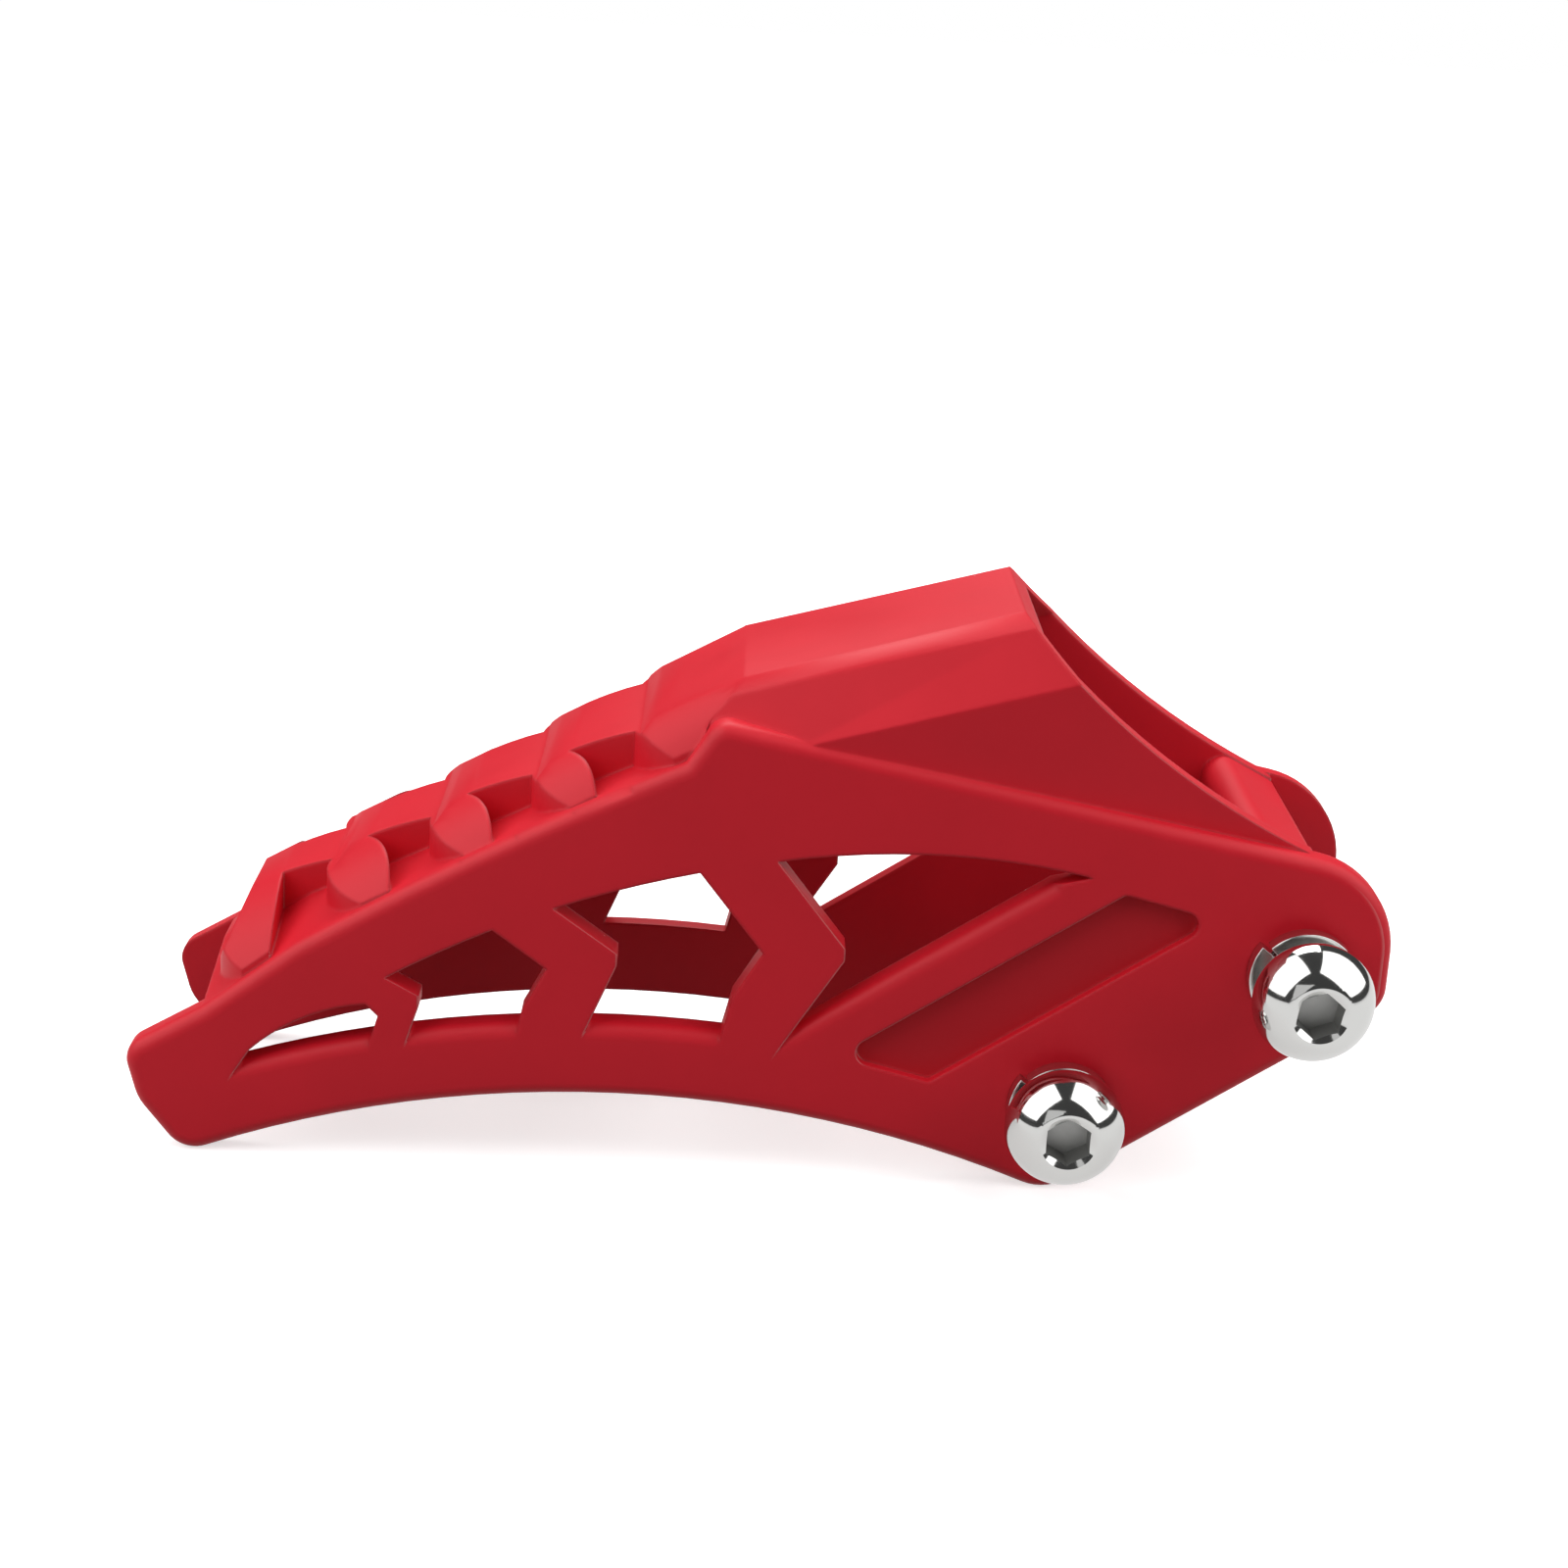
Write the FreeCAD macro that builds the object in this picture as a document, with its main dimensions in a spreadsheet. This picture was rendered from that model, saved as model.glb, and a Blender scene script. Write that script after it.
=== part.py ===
import FreeCAD, Part
import math
import os
from collections import namedtuple

import Sketcher

# Motorcycle chain guide: a moulded plastic channel that straddles the lower chain run,
# with two dome head bolts through its tail.
#
# Frame: X runs from the nose to the tail with X = 0 half way along, Y across the guide with
# Y = 0 half way between the two cheeks, Z up. The guide stands on the nose and the heel of
# its cheeks at Z = 0. The sizes count X from a zero line near the nose, and each finished
# piece is moved back by half the length.

SIZES = [
    # Cheeks, seen from the side
    ("width", 38.0, "over the two cheeks"),
    ("cheek_wall", 3.8, "thickness of a cheek"),
    ("rim_round", 1.8, "rounding of a cheek's outer rim"),
    ("rail_radius", 134.6, "hollow underside of the rail"),
    ("rail_mid_x", 49.84, "where the underside is highest"),
    ("rail_mid_z", 8.75, "height of the underside there"),
    ("stand_lift", 0.65, "the outlines' zero line above the ground"),
    ("rail_depth", 9.15, "rail from its underside to the window sills"),
    ("nose_foot_x", -1.5, "foot of the nose, before rounding"),
    ("nose_reach", 8.6, "nose tip ahead of the zero line"),
    ("nose_tip_z", 11.8, "height of the nose tip"),
    ("nose_cheek_x", -6.9, "bulge of the nose"),
    ("nose_cheek_z", 5.4, "height of the bulge"),
    ("nose_foot_round", 4.0, "rounding of the nose foot"),
    ("nose_cheek_round", 6.0, "rounding of the bulge"),
    ("nose_tip_round", 3.0, "rounding of the nose tip"),
    # Roof line, where the cheeks end under the back
    ("roof_start_x", 0.8, "leading edge of the roof"),
    ("roof_start_z", 17.4, "shoulder height there"),
    ("knee_x", 11.8, "bend of the shoulder"),
    ("knee_z", 25.9, "shoulder height at the bend"),
    ("roof_end_x", 56.1, "end of the shoulder, under the hood"),
    ("roof_end_z", 50.0, "shoulder height there"),
    ("roof_bow", 0.8, "bow of the shoulder between bend and end"),
    ("peak_rise", 5.3, "step of the cheek up to the hood"),
    ("peak_run", 3.4, "length of that step"),
    ("peak_round", 2.8, "rounding of the step"),
    # Tail, set out from the two bolts
    ("bolt_x", 101.8, "lower bolt"),
    ("bolt_z", 10.6, "height of the lower bolt"),
    ("bolt_pitch", 32.0, "between the two bolts"),
    ("bolt_angle", 34.0, "rise of the bolt line, degrees"),
    ("edge_offset", 9.3, "tail edge below the bolt line"),
    ("heel_back", 0.7, "heel corner behind the lower bolt"),
    ("heel_round", 6.0, "rounding of the heel"),
    ("tail_reach", 10.7, "tail end beyond the upper bolt"),
    ("tail_radius", 11.4, "round top of the tail"),
    ("tail_top_rise", 2.7, "top of the tail's straight end above the upper bolt"),
    ("tail_corner_round", 4.0, "rounding of the tail's lower corner"),
    ("lip_end_run", 1.3, "end of the lip beyond the upper bolt"),
    ("lip_end_rise", 13.7, "end of the lip above the upper bolt"),
    # Windows and recess
    ("crown_radius", 126.0, "arc that the window tops follow"),
    ("crown_back", 37.65, "top of that arc behind the middle of the rail"),
    ("crown_rise", 31.95, "top of that arc above the rail's underside"),
    ("last_crown_radius", 92.0, "same arc over the last window"),
    ("sill_round", 1.8, "soft lower edge of a window"),
    ("strut_1_foot_x", 25.2, "first strut, right foot"),
    ("strut_2_foot_x", 46.0, "second strut, right foot"),
    ("strut_3_foot_x", 69.8, "third strut, right foot"),
    ("strut_3_width", 8.2, "third strut along the sill"),
    ("strut_2_width", 8.1, "second strut along the sill"),
    ("strut_1_width", 4.5, "first strut along the sill"),
    ("strut_1_knee_out", 1.0, "first strut's knee past its right foot"),
    ("strut_2_knee_out", 3.1, "second strut's knee past its right foot"),
    ("strut_3_knee_out", 5.7, "third strut's knee past its right foot"),
    ("strut_1_knee_rise", 3.2, "first strut's knee above the sill"),
    ("strut_2_knee_rise", 7.5, "second strut's knee above the sill"),
    ("strut_3_knee_rise", 9.2, "third strut's knee above the sill"),
    ("knee_blunt", 1.5, "blunt corner of a knee"),
    ("strut_1_head_back", 2.9, "first strut's right head ahead of its foot"),
    ("strut_2_head_back", 4.4, "second strut's right head ahead of its foot"),
    ("strut_3_head_back", 2.6, "third strut's right head ahead of its foot"),
    ("strut_2_hollow_out", 3.1, "second strut's hollow past its left foot"),
    ("strut_3_hollow_out", 4.4, "third strut's hollow past its left foot"),
    ("strut_2_hollow_rise", 7.1, "second strut's hollow above the sill"),
    ("strut_3_hollow_rise", 10.3, "third strut's hollow above the sill"),
    ("strut_2_kink_out", 0.3, "second strut's lower kink past its left foot"),
    ("strut_3_kink_out", 1.1, "third strut's lower kink past its left foot"),
    ("strut_2_kink_rise", 1.7, "second strut's lower kink above the sill"),
    ("strut_3_kink_rise", 4.7, "third strut's lower kink above the sill"),
    ("strut_left_head", 3.3, "a strut's left head ahead of its foot"),
    ("window_tip_x", 5.4, "tip of the first window"),
    ("lens_tip_run", 1.2, "length of the first window's blunt tip"),
    ("lens_tip_rise", 1.9, "height of that tip"),
    ("lens_radius", 23.0, "top of the first window"),
    ("lens_end_run", 0.6, "first window's upper corner ahead of the strut"),
    ("lens_end_rise", 4.2, "height of that corner"),
    ("lens_bulge_out", 0.8, "bulge of the first window's end"),
    ("lens_bulge_rise", 2.8, "height of that bulge"),
    ("strip_offset", 24.1, "lower edge of the last window above the bolt line"),
    ("last_tip_x", 103.5, "tip of the last window"),
    ("last_tip_z", 38.9, "height of that tip"),
    ("last_tip_cut", 4.6, "length of the cut at that tip"),
    ("recess_depth", 1.4, "sunken panel in a cheek"),
    ("recess_low", 10.3, "panel's lower edge above the bolt line"),
    ("recess_height", 8.5, "width of the panel"),
    ("recess_start", -11.8, "panel's lower edge begins, along the bolt line"),
    ("recess_length", 39.0, "length of the panel"),
    ("recess_skew", 7.8, "slant of the panel's ends"),
    ("recess_sharp_round", 1.7, "rounding of the panel's sharp corners"),
    ("recess_blunt_round", 0.8, "rounding of its blunt corners"),
    # Roof between the cheeks
    ("deck_wall", 3.8, "thickness of the roof"),
    ("deck_rise", 3.2, "camber of the roof at its leading edge"),
    ("deck_ridge", 3.0, "half width of the camber's flat top"),
    ("deck_end_x", 36.0, "where the camber has run out"),
    # Back: a ridge with overlapping scales and side pockets
    ("shoulder_ledge", 0.4, "flat shoulder between the rim's rounding and the scales"),
    ("ridge_start_rise", 8.7, "ridge above the shoulder at the leading edge"),
    ("ridge_start_half", 4.2, "half width of the ridge there"),
    ("ridge_end_half", 11.9, "half width of the ridge at the hood"),
    ("scale_lip", 0.9, "edge of a scale above the shoulder"),
    ("scale_dome", 1.6, "side of a scale, radius over its width"),
    ("ridge_front_low", 1.0, "front foot of the ridge above the leading edge"),
    ("ridge_front_x", 2.0, "front foot of the ridge"),
    ("ridge_front_rise", 4.2, "upright front of the first scale"),
    ("scale_first_x", 4.6, "top front edge of the first scale"),
    ("scale_pitch", 11.9, "from scale to scale"),
    ("scale_step", 1.2, "drop at the end of a scale"),
    ("scale_run", 1.7, "ramp from a scale up to the next"),
    ("scale_bow", 0.32, "bow of a scale's top"),
    ("pocket_lead", 2.3, "back corner of a pocket behind the scale's front edge"),
    ("pocket_first_gap", 5.9, "end of the first scale before the next front edge"),
    ("pocket_first_slant", 0.4, "slant of that end"),
    ("pocket_gap", 7.6, "length of a pocket along the ridge"),
    ("pocket_sweep", 8.3, "how far a scale's tip trails behind its root"),
    ("first_sweep", 5.2, "the same for the first scale"),
    ("pocket_front_radius", 10.5, "hollow front edge of a scale"),
    ("pocket_rear_radius", 19.0, "rear edge of a scale"),
    # Hood
    ("hood_inset", 0.8, "widest part of the hood inside the cheek's face"),
    ("hood_wall", 3.2, "thickness of the hood"),
    ("hood_front_x", 62.3, "front corner of the hood's top"),
    ("hood_front_rise", 3.65, "that corner above the top of the cheek's step"),
    ("hood_top_x", 94.0, "rear end of the hood's top"),
    ("hood_climb", 9.15, "rise of the hood's top to its rear end"),
    ("bevel_across", 5.3, "hood bevel across the top"),
    ("bevel_down", 8.3, "hood bevel down the side"),
    ("hood_lean", 0.06, "the hood's sides lean in towards their foot, per height"),
    ("hood_end_inset", 0.4, "end of the hood ahead of the lip's end"),
    ("mouth_radius", 103.0, "hollow rear edge of the hood"),
    ("hood_root", 2.6, "depth of the hood's foot in the cheek"),
    ("cavity_lag", 3.0, "hood cavity behind the hood's front corner"),
    ("bridge_length", 8.8, "cross wall at the end of the mouth"),
    ("bridge_depth", 4.3, "cross wall below the end of the mouth"),
    ("bridge_drop", 0.3, "cross wall sunk below the mouth's edge"),
    ("bridge_root", 1.0, "cross wall let into the two cheeks together"),
    ("bridge_round", 2.5, "rounding of the cross wall"),
    # Bolts and their hardware
    ("bolt_diameter", 8.0, "M8 shank"),
    ("bolt_length", 55.0, "below the head"),
    ("bore_clearance", 0.2, "round a bolt in a cheek"),
    ("head_diameter", 14.0, "widest part of the head"),
    ("head_height", 7.0, "dome head"),
    ("head_widest", 2.6, "widest part above the bearing face"),
    ("head_bearing", 11.4, "diameter of the bearing face"),
    ("head_under_radius", 3.1, "rounding under the head"),
    ("head_dome_radius", 6.0, "dome of the head"),
    ("head_flat", 7.2, "diameter of the flat round the socket"),
    ("socket_flats", 5.0, "hexagon socket across flats"),
    ("socket_depth", 3.6, "depth of the socket"),
    ("socket_mouth", 6.4, "diameter of the countersink"),
    ("washer_section", 2.1, "square wire of the spring washer"),
    ("washer_rise", 2.05, "rise of the open spring washer"),
    ("washer_turn", 352.0, "turn of the spring washer, degrees"),
    ("washer_clearance", 0.1, "spring washer round the shank"),
    ("upper_stand_off", 2.4, "upper head off its washer, not run home"),
    ("nut_flats", 13.0, "across flats"),
    ("nut_height", 6.5, "M8 nut"),
    ("nut_chamfer", 30.0, "chamfer of the nut's corners, degrees"),
    ("nut_face", 12.5, "diameter of the nut's flat face"),
    ("thread_clearance", 0.05, "shank in the nut"),
    ("point_chamfer", 1.0, "chamfer of the bolt's point"),
]

doc = FreeCAD.newDocument("chain_guide")
sheet = doc.addObject("Spreadsheet::Sheet", "Sizes")
for row, (alias, value, meaning) in enumerate(SIZES, start=1):
    sheet.set("A%d" % row, alias)
    sheet.set("B%d" % row, str(value))
    sheet.set("C%d" % row, meaning)
    sheet.setAlias("B%d" % row, alias)
doc.recompute()
WORKED_OUT = []


class Size:
    """A length that knows its value and the sheet formula that drives it."""

    def __init__(self, value, text):
        self.value = value
        self.text = text

    def combine(self, other, sign, value, swap=False):
        first, second = (other.text, self.text) if swap else (self.text, other.text)
        return Size(value, "(%s %s %s)" % (first, sign, second))

    def __add__(self, other):
        other = as_size(other)
        return self.combine(other, "+", self.value + other.value)

    def __sub__(self, other):
        other = as_size(other)
        return self.combine(other, "-", self.value - other.value)

    def __mul__(self, other):
        other = as_size(other)
        return self.combine(other, "*", self.value * other.value)

    def __truediv__(self, other):
        other = as_size(other)
        return self.combine(other, "/", self.value / other.value)

    def __neg__(self):
        return Size(-self.value, "(0 - %s)" % self.text)


def worked_out(alias, amount):
    """Keeps a value that others build on in a cell of its own, as a formula."""
    row = len(SIZES) + 2 + len(WORKED_OUT)
    WORKED_OUT.append(alias)
    sheet.set("A%d" % row, alias)
    sheet.set("B%d" % row, "=" + amount.text.replace("Sizes.", ""))
    sheet.setAlias("B%d" % row, alias)
    return Size(amount.value, "Sizes.%s" % alias)


def as_size(number):
    return number if isinstance(number, Size) else Size(number, repr(number))


def size(alias):
    return Size(float(sheet.get(alias)), "Sizes.%s" % alias)


def root(number):
    return Size(math.sqrt(number.value), "sqrt(%s)" % number.text)


def cosine(angle):
    return Size(math.cos(math.radians(angle.value)), "cos(%s * 1 deg)" % angle.text)


def sine(angle):
    return Size(math.sin(math.radians(angle.value)), "sin(%s * 1 deg)" % angle.text)


# A corner of an outline. A bend is the radius of the arc to the next corner,
# positive where the arc bulges to the left of the way there.
Corner = namedtuple("Corner", "across up bend", defaults=(None,))


def new_body(name):
    body = doc.addObject("PartDesign::Body", name)
    body.Label = name
    return body


def origin_feature(body, role):
    return next(item for item in body.Origin.OriginFeatures if item.Role == role)


def new_sketch(body, name, plane, offset=None):
    sketch = body.newObject("Sketcher::SketchObject", name)
    sketch.AttachmentSupport = (origin_feature(body, plane), [""])
    sketch.MapMode = "FlatFace"
    if offset is not None:
        sketch.AttachmentOffset = FreeCAD.Placement(
            FreeCAD.Vector(0, 0, offset.value), FreeCAD.Rotation())
        sketch.setExpression(".AttachmentOffset.Base.z", offset.text)
    return sketch


def hold(sketch, kind, where, amount):
    """Adds a driving constraint that follows the sheet."""
    index = sketch.addConstraint(Sketcher.Constraint(kind, *where, amount.value))
    sketch.setExpression("Constraints[%d]" % index, amount.text)


def place(sketch, geometry, point, across, up):
    hold(sketch, "DistanceX", (-1, 1, geometry, point), across)
    hold(sketch, "DistanceY", (-1, 1, geometry, point), up)


def bent_edge(start, end, bend):
    """The arc from start to end, and which of its ends the way starts at."""
    radius = abs(bend)
    chord = end - start
    left = FreeCAD.Vector(-chord.y, chord.x, 0).normalize()
    reach = math.sqrt(radius ** 2 - (chord.Length / 2) ** 2)
    centre = (start + end) * 0.5 - left * math.copysign(reach, bend)
    first, last = (end, start) if bend > 0 else (start, end)
    angles = [math.atan2(p.y - centre.y, p.x - centre.x) for p in (first, last)]
    circle = Part.Circle(centre, FreeCAD.Vector(0, 0, 1), radius)
    return Part.ArcOfCircle(circle, *angles), (2, 1) if bend > 0 else (1, 2)


def add_outline(sketch, corners):
    """Draws a closed outline whose corners and bends are tied to the sheet."""
    edges = []
    for here, there in zip(corners, corners[1:] + corners[:1]):
        start = FreeCAD.Vector(here.across.value, here.up.value, 0)
        end = FreeCAD.Vector(there.across.value, there.up.value, 0)
        if here.bend is None:
            edge, ends = Part.LineSegment(start, end), (1, 2)
        else:
            edge, ends = bent_edge(start, end, here.bend.value)
        edges.append((sketch.addGeometry(edge), *ends))
    for (index, _, end), (following, start, _) in zip(edges, edges[1:] + edges[:1]):
        sketch.addConstraint(Sketcher.Constraint("Coincident", index, end, following, start))
    for corner, (index, start, _) in zip(corners, edges):
        place(sketch, index, start, corner.across, corner.up)
        if corner.bend is not None:
            bend = corner.bend if corner.bend.value > 0 else -corner.bend
            hold(sketch, "Radius", (index,), bend)


def add_circle(sketch, across, up, radius):
    centre = FreeCAD.Vector(across.value, up.value, 0)
    circle = Part.Circle(centre, FreeCAD.Vector(0, 0, 1), radius.value)
    index = sketch.addGeometry(circle)
    place(sketch, index, 3, across, up)
    hold(sketch, "Radius", (index,), radius)


def swept(body, kind, name, sketch, length, symmetric=True, backwards=False):
    """A pad or a pocket of the sketch."""
    feature = body.newObject("PartDesign::" + kind, name)
    feature.Profile = sketch
    feature.SideType = "Symmetric" if symmetric else "One side"
    feature.Reversed = backwards
    feature.Length = length.value
    feature.setExpression("Length", length.text)
    sketch.Visibility = False
    doc.recompute()
    return feature


def edge_names(feature, test):
    return ["Edge%d" % n for n, edge in enumerate(feature.Shape.Edges, start=1) if test(edge)]


def rounded(body, name, base, test, radius):
    feature = body.newObject("PartDesign::Fillet", name)
    feature.Base = (base, edge_names(base, test))
    feature.Radius = radius.value
    feature.setExpression("Radius", radius.text)
    doc.recompute()
    return feature


def is_crosswise(edge):
    direction = edge.Vertexes[-1].Point - edge.Vertexes[0].Point
    return direction.Length > 0 and abs(direction.y) > 0.999 * direction.Length


def at_corner(*corners):
    """Finds the crosswise edges that stand on the named corners."""
    def test(edge):
        middle = edge.CenterOfMass
        return is_crosswise(edge) and any(
            math.hypot(middle.x - c.across.value, middle.z - c.up.value) < 0.05 for c in corners)
    return test


WIDTH = size("width")
HALF = worked_out("half_width", WIDTH / 2)
FOOT = worked_out("foot", HALF - size("rim_round") - size("shoulder_ledge"))
GAP = worked_out("gap", WIDTH - size("cheek_wall") * 2)
BOLT_COS = worked_out("bolt_cos", cosine(size("bolt_angle")))
BOLT_SIN = worked_out("bolt_sin", sine(size("bolt_angle")))
UPPER_X = worked_out("upper_x", size("bolt_x") + size("bolt_pitch") * BOLT_COS)
UPPER_Z = worked_out("upper_z", size("bolt_z") + size("bolt_pitch") * BOLT_SIN)
BOLTS = {"lower": (size("bolt_x"), size("bolt_z")), "upper": (UPPER_X, UPPER_Z)}


def from_bolts(along, above):
    """A place given along and square to the line through the bolts."""
    return (size("bolt_x") + along * BOLT_COS - above * BOLT_SIN,
            size("bolt_z") + along * BOLT_SIN + above * BOLT_COS)


def below_bolts(x, above):
    """The height at x of the line that runs parallel to the bolt line."""
    return size("bolt_z") + (above + (x - size("bolt_x")) * BOLT_SIN) / BOLT_COS


def rail(x, depth):
    """The height at x of the rail's underside, or of a line above it."""
    radius = size("rail_radius") + depth
    offset = x - size("rail_mid_x")
    return (size("rail_mid_z") - size("rail_radius")
            + root(radius * radius - offset * offset))


def shoulder(x, bow=0.0):
    """The straight shoulder line behind the knee, lifted by a share of its bow."""
    rise = size("roof_end_z") - size("knee_z")
    run = size("roof_end_x") - size("knee_x")
    return size("knee_z") + (x - size("knee_x")) * rise / run + size("roof_bow") * bow


def ridge(x):
    """The line through the front edges of the scales."""
    start_x = size("roof_start_x")
    start_z = size("roof_start_z") + size("ridge_start_rise")
    run = size("hood_front_x") - start_x
    return start_z + (x - start_x) * (HOOD_FRONT_Z - start_z) / run


def ridge_half(x):
    """Half the width of the ridge, which widens towards the hood."""
    start_x = size("roof_start_x")
    rise = size("ridge_end_half") - size("ridge_start_half")
    run = size("hood_front_x") - start_x
    return size("ridge_start_half") + (x - start_x) * rise / run


NOSE_TIP = Corner(-size("nose_reach"), size("nose_tip_z"))
PEAK = Corner(size("roof_end_x") + size("peak_run"), size("roof_end_z") + size("peak_rise"))
LIP_END = Corner(UPPER_X + size("lip_end_run"), UPPER_Z + size("lip_end_rise"),
                 size("tail_radius"))
TAIL_X = UPPER_X + size("tail_reach")
MIDDLE_X = worked_out("middle_x", (TAIL_X - size("nose_reach") + size("nose_tip_round") / 6) / 2)
HOOD_REAR = Corner(LIP_END.across - size("hood_end_inset"), LIP_END.up - size("hood_end_inset") / 4)
HOOD_FOOT = Corner(PEAK.across - size("rim_round") / 2, PEAK.up - size("rim_round") / 2)
HOOD_FRONT_Z = worked_out("hood_front_z", PEAK.up + size("hood_front_rise"))
HOOD_TOP_Z = worked_out("hood_top_z", HOOD_FRONT_Z + size("hood_climb"))


def cheek_corners():
    chord_x = size("roof_end_x") - size("knee_x")
    chord_z = size("roof_end_z") - size("knee_z")
    bow = size("roof_bow")
    roof_radius = (chord_x * chord_x + chord_z * chord_z) / (bow * 8) + bow / 2
    heel_x = size("bolt_x") - size("heel_back")
    tail_low = below_bolts(TAIL_X, -size("edge_offset"))
    return {
        "nose_foot": Corner(size("nose_foot_x"), rail(size("nose_foot_x"), as_size(0))),
        "nose_cheek": Corner(size("nose_cheek_x"), size("nose_cheek_z")),
        "nose_tip": NOSE_TIP,
        "roof_start": Corner(size("roof_start_x"), size("roof_start_z")),
        "knee": Corner(size("knee_x"), size("knee_z"), roof_radius),
        "roof_end": Corner(size("roof_end_x"), size("roof_end_z")),
        "peak": PEAK,
        "lip_end": LIP_END,
        "tail": Corner(TAIL_X, UPPER_Z + size("tail_top_rise")),
        "tail_low": Corner(TAIL_X, tail_low),
        "heel": Corner(heel_x, rail(heel_x, as_size(0)), -size("rail_radius")),
    }


def add_cheek_block(body):
    """One block as wide as the guide, with rounded corners and rims."""
    corners = cheek_corners()
    sketch = new_sketch(body, "cheek_outline", "XZ_Plane")
    add_outline(sketch, list(corners.values()))
    block = swept(body, "Pad", "cheek_block", sketch, WIDTH)
    for name in ("nose_foot", "nose_cheek", "nose_tip", "peak", "heel", "tail_low"):
        alias = {"tail_low": "tail_corner_round"}.get(name, name + "_round")
        block = rounded(body, name + "_rounding", block, at_corner(corners[name]), size(alias))
    half = HALF.value

    def on_rim(edge):
        return all(abs(abs(v.Y) - half) < 1e-6 for v in edge.Vertexes) and not is_crosswise(edge)

    return rounded(body, "rim_rounding", block, on_rim, size("rim_round"))


def cut_channel(body):
    """Clears the space between the cheeks, up to the underside of the roof."""
    start_x = size("roof_start_x")
    wall = size("deck_wall")
    end_x = size("roof_end_x")
    clear_up = HOOD_TOP_Z
    ahead = NOSE_TIP.across - size("width")
    behind = TAIL_X + size("width")
    below = -size("width")
    sketch = new_sketch(body, "channel_outline", "XZ_Plane")
    add_outline(sketch, [
        Corner(ahead, below),
        Corner(ahead, clear_up),
        Corner(start_x, clear_up),
        Corner(start_x, size("roof_start_z") - wall),
        Corner(size("knee_x"), size("knee_z") - wall),
        Corner(end_x, size("roof_end_z") - wall),
        Corner(PEAK.across + size("hood_wall") / 2, clear_up),
        Corner(behind, clear_up),
        Corner(behind, below),
    ])
    swept(body, "Pocket", "channel", sketch, GAP)


def crown(x):
    """The height at x of the arc that the window tops follow."""
    radius = size("crown_radius")
    offset = x - size("rail_mid_x") - size("crown_back")
    top = size("rail_mid_z") + size("crown_rise")
    return top - radius + root(radius * radius - offset * offset)


def strut_right(number, sill):
    """The right side of a strut, from its foot up to the window tops."""
    foot = size("strut_%d_foot_x" % number)
    knee_x = foot + size("strut_%d_knee_out" % number)
    knee_z = sill(foot) + size("strut_%d_knee_rise" % number)
    head = foot - size("strut_%d_head_back" % number)
    return [
        Corner(foot, sill(foot)),
        Corner(knee_x, knee_z),
        Corner(knee_x, knee_z + size("knee_blunt")),
        Corner(head, crown(head), size("crown_radius")),
    ]


def strut_left(number, sill, sill_bend):
    """The left side of a strut, from the window tops down to its foot."""
    foot = size("strut_%d_foot_x" % number) - size("strut_%d_width" % number)
    head = foot - size("strut_left_head")
    return [
        Corner(head, crown(head)),
        Corner(foot + size("strut_%d_hollow_out" % number),
               sill(foot) + size("strut_%d_hollow_rise" % number)),
        Corner(foot + size("strut_%d_kink_out" % number),
               sill(foot) + size("strut_%d_kink_rise" % number)),
        Corner(foot, sill(foot), sill_bend),
    ]


def add_windows(body):
    """Four windows between three bent struts."""
    depth = size("rail_depth")
    strip = size("strip_offset")
    sill_bend = -(size("rail_radius") + depth)

    def on_rail(x):
        return rail(x, depth)

    def on_strip(x):
        return below_bolts(x, strip)

    tip = size("window_tip_x")
    end = size("strut_1_foot_x") - size("strut_1_width")
    lens = [
        Corner(tip, on_rail(tip)),
        Corner(tip + size("lens_tip_run"), on_rail(tip) + size("lens_tip_rise"),
               size("lens_radius")),
        Corner(end - size("lens_end_run"), on_rail(end) + size("lens_end_rise")),
        Corner(end + size("lens_bulge_out"), on_rail(end) + size("lens_bulge_rise")),
        Corner(end, on_rail(end), sill_bend),
    ]
    last_tip = size("last_tip_x")
    last_cut = last_tip - size("last_tip_cut")
    fourth = strut_right(3, on_strip)
    fourth[-1] = fourth[-1]._replace(bend=size("last_crown_radius"))
    fourth += [Corner(last_tip, size("last_tip_z")), Corner(last_cut, on_strip(last_cut))]
    windows = {
        "lens": lens,
        "second": strut_right(1, on_rail) + strut_left(2, on_rail, sill_bend),
        "third": strut_right(2, on_rail) + strut_left(3, on_rail, sill_bend),
        "fourth": fourth,
    }
    for name, corners in windows.items():
        sketch = new_sketch(body, name + "_window_outline", "XZ_Plane")
        add_outline(sketch, corners)
        last = swept(body, "Pocket", name + "_window", sketch, WIDTH)
    half = HALF.value

    def on_sill(edge):
        ends = [vertex.Point for vertex in edge.Vertexes]
        if edge.Length < half / 4 or not all(abs(abs(p.y) - half) < 1e-6 for p in ends):
            return False
        return any(all(abs(p.z - line(as_size(p.x)).value) < 0.01 for p in ends)
                   for line in (on_rail, on_strip))

    return rounded(body, "sill_rounding", last, on_sill, size("sill_round"))


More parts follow.
